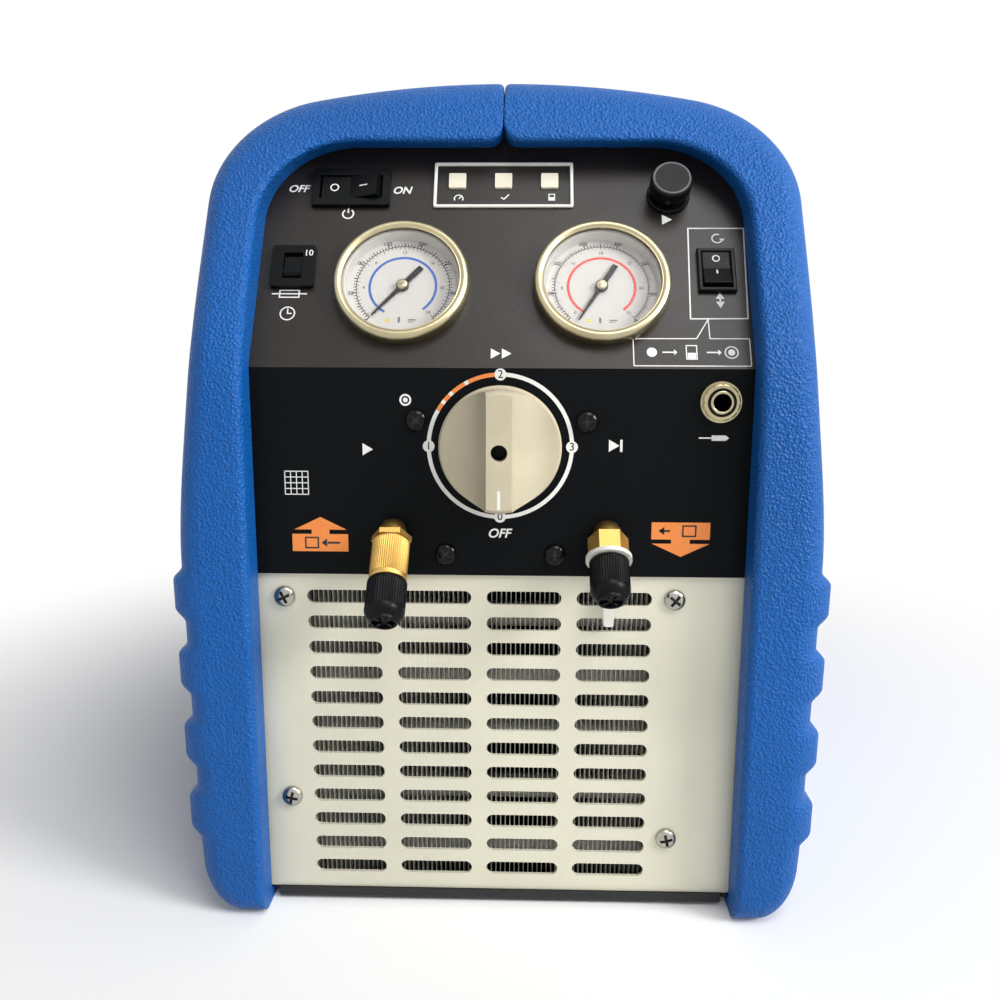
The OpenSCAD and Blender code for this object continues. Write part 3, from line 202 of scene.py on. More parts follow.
M = {
    "blue": grained_plastic("blue_grained_plastic", linear(7, 87, 163)),
    "panel": coated_sheet("black_coated_sheet", linear(9, 12, 14), 0.42, specular=0.07),
    # Painted sheen: a lighter, warmer black for the leaning half of the panel, standing for the reflection of
    # the lamp above it
    "panel_painted_sheen": coated_sheet("black_panel_painted_sheen", linear(35, 30, 27), 0.36, specular=0.33),
    "tray": coated_sheet("black_tray", linear(16, 17, 19), 0.5),
    "silver": coated_sheet("silver_sheet", linear(220, 217, 197), 0.38, 0.2, 0.25),
    "plastic": plain_plastic("black_plastic", linear(9, 11, 12), 0.34, specular=0.13),
    "rubber": plain_plastic("black_rubber", linear(18, 18, 19), 0.7, 0.5),
    "knob": plain_plastic("beige_plastic", linear(197, 187, 161), 0.42, specular=0.4),
    "white": plain_plastic("white_plastic", linear(232, 230, 222), 0.4),
    "lamp": plain_plastic("cream_lamp", linear(228, 222, 200), 0.35),
    "dial": printed_ink("gauge_paper", linear(214, 210, 205), 0.6),
    "bezel": bare_metal("pale_gold", linear(190, 179, 144), 0.3),
    "brass": bare_metal("brass", linear(214, 176, 100), 0.46),
    # Painted shade: a dark brass for the port elbows, which sit in shadow behind the nuts
    "brass_painted_shade": bare_metal("brass_painted_shade", linear(104, 82, 44), 0.5),
    "copper": bare_metal("copper", linear(206, 128, 84), 0.3),
    "steel": bare_metal("zinc_steel", linear(196, 198, 200), 0.3),
    "screw": bare_metal("bright_screw", linear(176, 174, 164), 0.18),
    # Painted shade in the cross recesses of the bright grille screws; on the black valve screws the same colour
    # is lighter than the head and stands for a highlight
    "recess": plain_plastic("recess_painted_shade_and_highlight", linear(34, 33, 31), 0.4),
    "black_steel": plain_plastic("black_zinc", linear(6, 6, 7), 0.16, 0.05, specular=0.2),
    "alloy": bare_metal("aluminium", linear(200, 203, 206), 0.34),
    "fins": coated_sheet("fin_stock", linear(240, 239, 232), 0.4, 0.1, 0.1),
    "cast": coated_sheet("cast_alloy", linear(150, 152, 155), 0.5, 0.8, 0.7),
    "motor": coated_sheet("motor_paint", linear(48, 50, 53), 0.4),
    "board": plain_plastic("circuit_board", linear(24, 84, 46), 0.35),
    "lens": clear_lens("gauge_lens"),
    "ink_white": printed_ink("white_ink", linear(236, 236, 232)),
    "ink_black": printed_ink("black_ink", linear(24, 24, 26)),
    "ink_grey": printed_ink("grey_ink", linear(96, 96, 100)),
    "ink_orange": printed_ink("orange_ink", linear(240, 140, 66)),
    "ink_blue": printed_ink("blue_ink", linear(40, 92, 186)),
    "ink_red": printed_ink("red_ink", linear(226, 66, 52)),
    "ink_yellow": printed_ink("yellow_ink", linear(222, 206, 96)),
    "collar": plain_plastic("dial_collar", linear(206, 203, 198), 0.35),
    "light_grey_rim": plain_plastic("light_grey_rim", linear(72, 74, 78), 0.45),
}

NODE_FINISH = {
    "blue": "handle_bar",
    "panel": "control_panel rear_panel",
    "tray": "base_pan fan_shroud drive_plate",
    "silver": "grille_panel",
    "plastic": "power_switch power_rocker bypass_switch bypass_rocker breaker_frame breaker_rocker "
               "start_collar start_button jack_socket input_cap output_cap fan power_inlet "
               "suction_pointer discharge_pointer",
    "black_steel": "valve_screws rear_screws",
    "steel": "grille_screws valve_stem filter_screen motor_shaft condenser_brackets",
    "knob": "selector_knob",
    "lamp": "indicator_lights",
    "white": "indicator_frame cap_strap",
    "dial": "suction_dial discharge_dial",
    "bezel": "suction_gauge discharge_gauge jack_nut",
    "lens": "suction_lens discharge_lens",
    "brass": "gauge_stems input_port input_filter output_port",
    "copper": "condenser_tubes suction_line discharge_line liquid_line gauge_lines",
    "fins": "condenser_fins",
    "alloy": "valve_block run_capacitor",
    "cast": "compressor cylinder_head",
    "motor": "motor",
    "rubber": "rubber_mounts",
    "board": "circuit_board",
}
for finish, names in NODE_FINISH.items():
    for name in names.split():
        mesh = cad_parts[name].data
        mesh.materials.clear()
        mesh.materials.append(M[finish])

# Small rounded edges on the moulded and turned nodes, so that their edges catch the light
EDGES = {
    0.35: "power_switch bypass_switch breaker_frame power_rocker bypass_rocker breaker_rocker start_collar",
    0.5: "start_button selector_knob",
    0.2: "indicator_frame indicator_lights jack_nut power_inlet input_port output_port",
}
for width, names in EDGES.items():
    for name in names.split():
        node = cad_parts[name]
        weld = node.modifiers.new("weld", "WELD")
        weld.merge_threshold = 0.00001
        bevel = node.modifiers.new("edges", "BEVEL")
        bevel.width, bevel.segments, bevel.limit_method = width * MM, 3, "ANGLE"
        bevel.angle_limit = math.radians(35)
        bevel.use_clamp_overlap = True
        bevel.harden_normals = False
        node.modifiers.new("normals", "WEIGHTED_NORMAL").keep_sharp = True


# Pieces
def piece(name, verts, faces, finish, body, smooth_angle=None):
    """A mesh piece from points in millimetres, riding on a body."""
    mesh = bpy.data.meshes.new(name)
    mesh.from_pydata([Vector(v) * MM for v in verts], [], faces)
    mesh.materials.append(M[finish])
    if smooth_angle:
        mesh.shade_smooth()
        mesh.set_sharp_from_angle(angle=math.radians(smooth_angle))
    obj = bpy.data.objects.new(name, mesh)
    bpy.context.collection.objects.link(obj)
    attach(obj, body)
    return obj


# Moulded shells: the loft of the CAD source with finer steps and rounded edges
def steps(low, high, count):
    return [low + (high - low) * k / count for k in range(count + 1)]


def flare(z):
    t = min(1, max(0, (FLARE_TOP - z) / (FLARE_TOP - FLARE_LOW)))
    return UPPER_HW + (LOWER_HW - UPPER_HW) * t * t * (3 - 2 * t) - DRAFT * max(0, 1 - z / FLARE_LOW)


def crown(x):
    return ARCH_H - CROWN_R + math.sqrt(CROWN_R ** 2 - x * x)


def rib(z):
    for middle in RIB_Z:
        u = abs(z - middle)
        if u < RIB_FLAT:
            return RIB_H
        if u < RIB_HALF:
            return RIB_H * (0.5 + 0.5 * math.cos(math.pi * (u - RIB_FLAT) / (RIB_HALF - RIB_FLAT)))
    return 0


RIB_STEPS = steps(-RIB_HALF, -RIB_FLAT, 9) + [0] + steps(RIB_FLAT, RIB_HALF, 9)
SIDE_Z = [z + u for z in RIB_Z for u in RIB_STEPS]
SIDE_Z += steps(FLARE_LOW + 3, BEND_Z, 20) + steps(BEND_Z + 2.5, REAR_BEND_Z, 12)
SIDE_Z += steps(REAR_BEND_Z + 3, 268, 5)
CORNER_X = UPPER_HW - ARCH_CORNER
JOIN = math.radians(78)
CORNER_Z = crown(CORNER_X + ARCH_CORNER * math.cos(JOIN)) - ARCH_RISE * math.sin(JOIN)
NOTCH = [(SEAM_X + SEAM_CORNER * (1 - math.sin(t)), SEAM_CORNER * (1 - math.cos(t)))
         for t in steps(0, math.pi / 2, 8)]
SEAM_ROUND = 2.2


def seam_fall(x):
    """Drop of the skin where its edge rounds into the seam."""
    u = SEAM_ROUND - (x - SEAM_X)
    return 0 if u <= 0 else SEAM_ROUND - math.sqrt(max(0, SEAM_ROUND ** 2 - u * u))


def skin(d, f, g=0.0):
    """Outer line of a section, set in by d, with a share f of the ribs; g rounds its end at the opening."""
    line = [(OPENING_HW + g, d)]
    foot_x = LOWER_HW - DRAFT - FOOT_CORNER
    line += [(foot_x + (FOOT_CORNER - d) * math.cos(t), FOOT_RISE + (FOOT_RISE - d) * math.sin(t))
             for t in steps(-math.pi / 2, 0, 12)]
    line += [(flare(z) - d + f * rib(z), z) for z in SIDE_Z]
    line += [(CORNER_X + (ARCH_CORNER - d) * math.cos(t), CORNER_Z + (ARCH_RISE - d) * math.sin(t))
             for t in steps(0, JOIN, 24)]
    line += [(x, crown(x) - d) for x in steps(CORNER_X + 4, 12, 10)]
    return line + [(x, crown(x) - d - seam_fall(x)) for x, _ in NOTCH]


def opening_edge(g, low):
    corner_x, corner_z = OPENING_HW - OPENING_CORNER, OPENING_CORNER * math.cos(LEAN)
    spring_z = OPENING_TOP - corner_z
    line = [(OPENING_HW + g, z) for z in steps(low + 1, FOOT_RISE + 5, 13)]
    line += [(OPENING_HW + g, z) for z in SIDE_Z]
    line += [(corner_x + (OPENING_CORNER + g) * math.cos(t), spring_z + (corner_z + g) * math.sin(t))
             for t in steps(0, math.pi / 2, 24)]
    line += [(x, OPENING_TOP + g) for x in steps(corner_x - 4, 9, 10)]
    return line + [(x, OPENING_TOP + g + rise) for x, rise in NOTCH]


def soft_step(d, w):
    return (d + math.sqrt(d * d + w * w)) / 2


def rim_front(z):
    return FRONT_Y + math.tan(LEAN) * soft_step(z - BEND_Z - RIM_RECESS * math.tan(LEAN / 2), RIM_BEND_W)


def rim_rear(z):
    return REAR_RIM_Y - math.tan(REAR_LEAN) * soft_step(z - REAR_BEND_Z, RIM_BEND_W)


def panel_front(z):
    return PANEL_Y + math.tan(LEAN) * max(0, z - BEND_Z)


def panel_rear(z):
    return REAR_Y - math.tan(REAR_LEAN) * max(0, z - REAR_BEND_Z)


def edge_round(d):
    return RIM_INNER_R - math.sqrt(RIM_INNER_R ** 2 - (RIM_INNER_R - d) ** 2) if d < RIM_INNER_R else 0


def loop(outer, inner, depth):
    """One station: the skin up to the seam and the inner line back, at the depths that the function gives."""
    return [(x, depth(z), z) for x, z in outer + inner[::-1]]


def rim_loops(face, sign, count=10):
    loops = []
    for t in steps(0, math.pi / 2, count):
        inset, d = EDGE_R * (1 - math.sin(t)), EDGE_R * (1 - math.cos(t))
        g = edge_round(d)
        loops.append(loop(skin(inset, math.sin(t), g), opening_edge(g, inset), lambda z: face(z) + sign * d))
    return loops


def pressed(line, share, d):
    """The line with what stands above the deck pressed down by a share of the way."""
    return [(x, z - share * max(0, z - (DECK_Z - d))) for x, z in line]


def wall_steps(count=5, radius=5.0, height=ARCH_H - DECK_Z):
    """Share of the fall and distance from the wall's plane over a rounded top and a rounded foot."""
    turn = steps(0, math.pi / 2, count)
    top = [(radius * (1 - math.cos(t)) / height, radius * (math.sin(t) - 1)) for t in turn]
    foot = [(1 - radius * (1 - math.sin(t)) / height, radius * (1 - math.cos(t))) for t in turn]
    return top + foot


def shell_stations():
    full, lining = skin(0, 1), skin(WALL, 0)
    deck_lining = pressed(lining, 1, WALL)
    loops = rim_loops(rim_front, 1)
    loops.append(loop(full, opening_edge(0, 0), lambda z: panel_front(z) - SEAT_GAP - 0.4))
    loops.append(loop(full, lining, lambda z: panel_front(z) - SEAT_GAP))
    loops.append(loop(full, lining, lambda z: HAND_FRONT - WALL - 6))
    for share, away in wall_steps():
        loops.append(loop(pressed(full, share, 0), deck_lining, lambda z: HAND_FRONT + away))
    for share, away in reversed(wall_steps()):
        loops.append(loop(pressed(full, share, 0), deck_lining, lambda z: HAND_REAR - away))
    loops.append(loop(full, lining, lambda z: HAND_REAR + WALL + 6))
    loops.append(loop(full, lining, lambda z: panel_rear(z) + SEAT_GAP))
    loops.append(loop(full, opening_edge(0, 0), lambda z: panel_rear(z) + SEAT_GAP + 0.4))
    return loops + rim_loops(rim_rear, -1)[::-1]


def shell(name, side):
    stations = shell_stations()
    n = len(stations[0])
    verts = [(side * x, y, z) for ring in stations for x, y, z in ring]
    faces = []
    for j in range(len(stations) - 1):
        for i in range(n):
            k = (i + 1) % n
            faces.append((j * n + i, j * n + k, (j + 1) * n + k, (j + 1) * n + i))
    last = (len(stations) - 1) * n
    for i in range(n // 2 - 1):
        faces.append((n - 1 - i, n - 2 - i, i + 1, i))
        faces.append((last + i, last + i + 1, last + n - 2 - i, last + n - 1 - i))
    if side > 0:
        faces = [f[::-1] for f in faces]
    obj = piece(name, verts, faces, "blue", "case", 38)
    return obj


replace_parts(shell("shell_left", -1), "left_shell")
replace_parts(shell("shell_right", 1), "right_shell")


# Printed marks: flat shapes laid on a plane of the panel
LOWER = Matrix(((1, 0, 0, 0), (0, 0, -1, PANEL_Y), (0, 1, 0, 0), (0, 0, 0, 1)))
UPPER = (Matrix.Translation((0, PANEL_Y, BEND_Z))
         @ Matrix(((1, 0, 0, 0), (0, math.sin(LEAN), -math.cos(LEAN), 0),
                   (0, math.cos(LEAN), math.sin(LEAN), 0), (0, 0, 0, 1))))


def at(plane, x, y):
    return plane @ Matrix.Translation((x, y, 0))


def turned(profile, count=64, teeth=0):
    """Points and faces of a turned form. The profile gives radius, height and the depth of a knurl, if any."""
    verts, faces, rings = [], [], []
    if teeth:
        count = 6 * teeth
    for r, h, *depth in profile:
        if r == 0:
            rings.append([len(verts)] * count)
            verts.append((0, 0, h))
            continue
        rings.append(list(range(len(verts), len(verts) + count)))
        for k in range(count):
            a = 2 * math.pi * k / count
            cut = depth[0] * (0.5 - 0.5 * math.cos(teeth * a)) if depth else 0
            verts.append(((r - cut) * math.cos(a), (r - cut) * math.sin(a), h))
    for low, high in zip(rings, rings[1:]):
        for k in range(count):
            n = (k + 1) % count
            faces.append(tuple(dict.fromkeys((low[k], high[k], high[n], low[n]))))
    return verts, faces


def lathe(name, plane, profile, finish, body, count=64, teeth=0, extra=((), ())):
    verts, faces = turned(profile, count, teeth)
    faces += [tuple(len(verts) + i for i in f) for f in extra[1]]
    verts += extra[0]
    return piece(name, [(plane @ Vector(v))[:] for v in verts], faces, finish, body, 32)


def block(x0, x1, y0, y1, z0, z1, turn=0.0):
    """Points and faces of a small box, turned about the third axis."""
    spin = Matrix.Rotation(turn, 3, "Z")
    corners = ((x0, y0), (x1, y0), (x1, y1), (x0, y1))
    verts = [(spin @ Vector((x, y, z)))[:] for z in (z0, z1) for x, y in corners]
    return verts, [(3, 2, 1, 0), (4, 5, 6, 7)] + [(k, (k + 1) % 4, (k + 1) % 4 + 4, k + 4) for k in range(4)]


def merged(parts):
    verts, faces = [], []
    for more_verts, more_faces in parts:
        faces += [tuple(len(verts) + i for i in f) for f in more_faces]
        verts += more_verts
    return verts, faces


class Print:
    """Flat marks of one ink on one plane. Places are in the plane, with the third axis out of it."""

    def __init__(self, plane, height=0.05):
        self.plane, self.height = plane, height
        self.verts, self.faces = [], []

    def shape(self, points):
        start = len(self.verts)
        self.verts += [(x, y, self.height) for x, y in points]
        self.faces.append(tuple(range(start, start + len(points))))
        return self

    def ring(self, x, y, low, high, first=0, last=360, count=96):
        turn = [math.radians(first + (last - first) * k / count) for k in range(count + 1)]
        for a, b in zip(turn, turn[1:]):
            corners = ((low, a), (high, a), (high, b), (low, b))
            self.shape([(x + r * math.cos(t), y + r * math.sin(t)) for r, t in corners])
        return self

    def disc(self, x, y, r, count=40):
        turn = [2 * math.pi * k / count for k in range(count)]
        return self.shape([(x + r * math.cos(t), y + r * math.sin(t)) for t in turn])

    def line(self, x0, y0, x1, y1, width):
        along = Vector((x1 - x0, y1 - y0)).normalized() * width / 2
        px, py = -along.y, along.x
        return self.shape([(x0 + px, y0 + py), (x0 - px, y0 - py), (x1 - px, y1 - py), (x1 + px, y1 + py)])

    def path(self, points, width):
        for (x0, y0), (x1, y1) in zip(points, points[1:]):
            self.line(x0, y0, x1, y1, width)
        return self

    def frame(self, x0, y0, x1, y1, width):
        h = width / 2
        self.path([(x0 - h, y0), (x1 + h, y0)], width).path([(x0 - h, y1), (x1 + h, y1)], width)
        return self.path([(x0, y0 + h), (x0, y1 - h)], width).path([(x1, y0 + h), (x1, y1 - h)], width)

    def words(self, text, x, y, size, slant=0.0, weight=0.0):
        curve = bpy.data.curves.new("words", "FONT")
        curve.body, curve.size, curve.shear, curve.offset = text, size, slant, weight
        curve.align_x, curve.align_y = "CENTER", "CENTER"
        curve.resolution_u = 4
        holder = bpy.data.objects.new("words", curve)
        mesh = bpy.data.meshes.new_from_object(holder)
        start = len(self.verts)
        self.verts += [(x + v.co.x, y + v.co.y, self.height) for v in mesh.vertices]
        self.faces += [tuple(start + i for i in f.vertices) for f in mesh.polygons]
        bpy.data.objects.remove(holder)
        bpy.data.curves.remove(curve)
        bpy.data.meshes.remove(mesh)
        return self

    def make(self, name, ink, body="case"):
        return piece(name, [(self.plane @ Vector(v))[:] for v in self.verts], self.faces, ink, body)


# Selector: dial ring with numbers, a pointer line on the knob and the dark bottom of its bore
RING_R, RING_W = 26.7, 1.5
RING_NUMBERS = {"0": -90, "1": 180, "2": 90, "3": 0}


def selector_marks():
    ring = Print(LOWER).ring(0, KNOB_Z, RING_R - RING_W / 2, RING_R + RING_W / 2, -210, 90, 150)
    arc = Print(LOWER).ring(0, KNOB_Z, RING_R - RING_W / 2, RING_R + RING_W / 2, 90, 150, 40)
    ticks, digits = Print(LOWER, 0.07), Print(LOWER, 0.1)
    for angle in (118, 133, 142):
        ticks.ring(0, KNOB_Z, RING_R - RING_W / 2, RING_R + RING_W / 2, angle - 1.6, angle + 1.6, 3)
    for text, angle in RING_NUMBERS.items():
        x = RING_R * math.cos(math.radians(angle))
        z = KNOB_Z + RING_R * math.sin(math.radians(angle))
        ticks.disc(x, z, 2.2)
        digits.words(text, x, z, 4.2, weight=0.03)
    ring.make("selector_ring", "ink_white")
    arc.make("selector_arc", "ink_orange")
    ticks.make("selector_discs", "ink_white")
    digits.make("selector_numbers", "ink_black")
    words = Print(LOWER).words("OFF", -0.4, 154.8, 4.9, 0.25, weight=0.1)
    words.make("selector_off", "ink_white")
    bore = [(0, 9.9), (2.9, 9.9), (2.9, 15), (2.98, 15.2)]
    lathe("knob_bore", at(LOWER, 0, KNOB_Z), bore, "plastic", "selector")
    tip = Print(LOWER, 19.63).line(0, KNOB_Z - 13.5, 0, KNOB_Z - 20.2, 1.1)
    tip.make("knob_pointer", "ink_white", "selector")


# Labels of the leaning half: plain icons where the machine has words
def power_icon(p, x, y, r, w):
    p.ring(x, y, r - w / 2, r + w / 2, 125, 415, 40).line(x, y + 0.2 * r, x, y + 1.25 * r, w)


def play_icon(p, x, y, r):
    p.shape([(x - 0.7 * r, y - r), (x + r, y), (x - 0.7 * r, y + r)])


def turn_icon(p, x, y, r, w):
    p.ring(x, y, r - w / 2, r + w / 2, 60, 360, 40)
    p.shape([(x + r - 1.1, y), (x + r + 1.1, y), (x + r, y - 1.5)])


def clock_icon(p, x, y, r, w):
    p.ring(x, y, r - w / 2, r + w / 2).line(x, y, x, y + 0.75 * r, w).line(x - w / 2, y, x + 0.6 * r, y, w)


def gauge_icon(p, x, y, r, w):
    p.ring(x, y, r - w / 2, r + w / 2, -30, 210, 30).line(x, y, x + 0.6 * r, y + 0.6 * r, w)


def arrow_icon(p, x, y, length, w):
    h = 2.2 * w
    p.line(x - length / 2, y, x + length / 2 - h, y, w)
    p.shape([(x + length / 2 - h, y - h), (x + length / 2, y), (x + length / 2 - h, y + h)])


def panel_marks():
    up, low = Print(UPPER), Print(LOWER)
    up.words("OFF", -81.4, 78.9, 4.6, 0.25, weight=0.1).words("ON", -40.2, 78.1, 4.6, 0.25, weight=0.1)
    Print(UPPER, 2.14).words("10", -74.2, 47.8, 3.6, weight=0.05).make("breaker_number", "ink_white")
    power_icon(up, -60.8, 67.2, 2.1, 0.6)
    play_icon(up, 63.3, 64.6, 2.3)
    up.frame(-84.4, 29.6, -77.0, 32.6, 0.5).line(-87.4, 31.1, -74.0, 31.1, 0.5)
    clock_icon(up, -80.7, 22.6, 2.7, 0.5)
    turn_icon(up, 82.4, 56.0, 1.9, 0.55)
    up.line(82.0, 26.6, 82.0, 31.0, 0.6)
    up.shape([(80.4, 28.2), (82.0, 25.4), (83.6, 28.2)]).shape([(80.4, 29.4), (83.6, 29.4), (82.0, 32.2)])
    up.path([(71.5, 60.6), (93.0, 60.6)], 0.5).path([(91.8, 21.0), (70.4, 20.8)], 0.5)
    up.path([(71.5, 60.8), (70.5, 20.6)], 0.5).path([(92.8, 60.8), (91.8, 20.8)], 0.5)
    bubble = [(77, 20.6), (72.3, 12.5), (48.9, 12.4), (48.9, 1.2),
              (91.7, 1.2), (91.7, 12.5), (77.2, 12.5), (77, 20.6)]
    up.path(bubble, 0.4)
    up.disc(55.6, 6.8, 1.9).frame(68.3, 4.0, 72.1, 9.6, 0.4)
    up.shape([(68.7, 4.3), (71.7, 4.3), (71.7, 6.6), (68.7, 6.6)])
    up.ring(84.8, 6.8, 2.1, 2.6).disc(84.8, 6.8, 1.3)
    arrow_icon(up, 62.2, 6.8, 5.5, 0.55)
    arrow_icon(up, 78.4, 6.8, 5.5, 0.55)
    gauge_icon(up, -17.6, 74.3, 1.7, 0.45)
    up.path([(-0.9, 75.0), (0.2, 74.0), (2.2, 76.3)], 0.5)
    up.frame(17.9, 73.6, 20.1, 76.4, 0.4).shape([(17.9, 73.6), (20.1, 73.6), (20.1, 75), (17.9, 75)])
    play_icon(up, -2.2, 6.0, 2.1)
    play_icon(up, 1.9, 6.0, 2.1)
    up.make("upper_marks", "ink_white")
    play_icon(low, -49.9, 186.7, 2.3)
    play_icon(low, 42.0, 188.6, 2.3)
    low.line(45.0, 186.3, 45.0, 190.9, 0.9)
    low.ring(-35.2, 205.2, 1.5, 2.2).disc(-35.2, 205.2, 0.9)
    for k in range(5):
        low.line(-81.2 + 2.2 * k, 169.4, -81.2 + 2.2 * k, 178.2, 0.35)
        low.line(-81.4, 169.4 + 2.2 * k, -72.2, 169.4 + 2.2 * k, 0.35)
    low.line(73.5, 191.7, 78.4, 191.7, 0.5)
    low.shape([(78.2, 190.7), (83.4, 190.7), (84.6, 191.7), (83.4, 192.7), (78.2, 192.7)])
    low.make("lower_marks", "ink_white")


def port_plates():
    plates, arrows = Print(LOWER), Print(LOWER, 0.08)
    plates.shape([(-79.2, 147.3), (-57.8, 147.3), (-57.8, 154.1), (-79.2, 154.1)])
    plates.shape([(-71.7, 154.1), (-64.9, 154.1), (-64.9, 155.8), (-71.7, 155.8)])
    plates.shape([(-78.4, 155.8), (-58.3, 155.8), (-68.2, 160.7)])
    plates.shape([(57.2, 153.1), (79.2, 153.1), (79.2, 159.7), (57.2, 159.7)])
    plates.shape([(64.7, 151.5), (71.7, 151.5), (71.7, 153.1), (64.7, 153.1)])
    plates.shape([(57.4, 151.5), (68.5, 146.4), (79.2, 151.5)])
    for x, z, way in ((-68.5, 150.7, 1), (68.2, 156.4, -1)):
        arrows.frame(x - way * 3.2 - 2.4, z - 2, x - way * 3.2 + 2.4, z + 2, 0.6)
        arrows.line(x + way * 7.6, z, x + way * 3.4 - 0.6, z, 0.8)
        tip = x + way * (0.4 if way > 0 else 8.4)
        arrows.shape([(tip + 2.2, z - 1.6), (tip + 2.2, z + 1.6), (tip, z)])
    plates.make("port_plates", "ink_orange")
    arrows.make("port_arrows", "ink_black")


def rounded_edges(obj, width):
    bevel = obj.modifiers.new("edges", "BEVEL")
    bevel.width, bevel.segments = width * MM, 3
    obj.modifiers.new("normals", "WEIGHTED_NORMAL").keep_sharp = True


def bypass_fittings(seat, pivot):
    """Slim bezel of the small switch and the rocker that nearly fills it."""
    rings = [(9.3, 7.1, 0.1), (9.3, 7.1, 1.6), (8.9, 6.7, 2.0),
             (8.1, 5.8, 2.0), (7.8, 5.5, 1.7), (7.8, 5.5, -7)]
    verts = [(seat @ Vector((sx * x, sy * y, z)))[:] for x, y, z in rings
             for sx, sy in ((-1, -1), (1, -1), (1, 1), (-1, 1))]
    faces = [(4 * j + k, 4 * j + (k + 1) % 4, 4 * j + 4 + (k + 1) % 4, 4 * j + 4 + k)
             for j in range(len(rings) - 1) for k in range(4)]
    bottom = tuple(4 * len(rings) - 4 + k for k in range(4))
    bezel = piece("bypass_bezel", verts, faces + [bottom], "plastic", "case")
    half, end_z = BYPASS_HALF, ROCKER_TOP + ROCKER_SLOPE * BYPASS_HALF
    line = [(-half, end_z), (-half, -0.5), (-2.6, -3.6),
            (2.6, -3.6), (half, -0.5), (half, end_z), (0, ROCKER_TOP)]
    n = len(line)
    verts = [(pivot @ Vector((x, side * BYPASS_WIDE, z)))[:] for side in (-1, 1) for x, z in line]
    faces = [tuple(range(n)), tuple(range(2 * n - 1, n - 1, -1))]
    faces += [(k, k + n, (k + 1) % n + n, (k + 1) % n) for k in range(n)]
    rocker = piece("bypass_paddle", verts, faces, "plastic", "bypass")
    rounded_edges(rocker, 0.35)
    for obj, node in ((bezel, "bypass_switch"), (rocker, "bypass_rocker")):
        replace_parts(obj, node)


def switch_marks():
    """Round and straight marks on the rockers, tilted with them."""
    slope = math.atan(ROCKER_SLOPE)

    def rocked(seat):
        return seat @ Matrix.Translation((0, 0, -PIVOT_IN)) @ Matrix.Rotation(-ROCKER_SWING, 4, "Y")

    def side(base, way, reach, draw, name, body):
        face = base @ Matrix.Translation((0, 0, ROCKER_TOP)) @ Matrix.Rotation(-way * slope, 4, "Y")
        mark = Print(face @ Matrix.Translation((way * reach, 0, 0)), 0.06)
        draw(mark)
        mark.make(name, "ink_white", body)

    power = rocked(at(UPPER, *POWER_AT))
    side(power, -1, 0.5 * POWER_HALF, lambda m: m.ring(0, 0, 1.25, 1.75), "power_o", "power")
    side(power, 1, 0.45 * POWER_HALF, lambda m: m.line(-1.7, 0, 1.7, 0, 0.5), "power_i", "power")
    quarter = Matrix.Rotation(math.radians(-90), 4, "Z")
    seat = at(UPPER, *BYPASS_AT) @ quarter
    bypass = rocked(seat)
    bypass_fittings(seat, bypass)
    side(bypass, -1, 4.4, lambda m: m.ring(0, 0, 1.0, 1.5), "bypass_o", "bypass")
    side(bypass, 1, 1.8, lambda m: m.line(-1.0, 0, 1.0, 0, 0.6), "bypass_i", "bypass")


GAUGE_PROFILE = [
    (0, -23), (21.5, -23), (21.5, -2), (22.8, -2), (22.8, 5.2), (22.1, 5.2), (22.1, 5.45), (22.25, 5.65),
    (22.5, 5.6), (22.75, 5.75), (23.2, 6.08), (23.8, 6.2), (24.4, 6.1), (24.95, 5.8), (25.4, 5.25), (25.7, 4.5),
    (25.8, 3.6), (25.8, 0.9), (25.6, 0.5), (25.6, 0.12), (24.2, 0.12), (24.2, -26), (0, -26)]


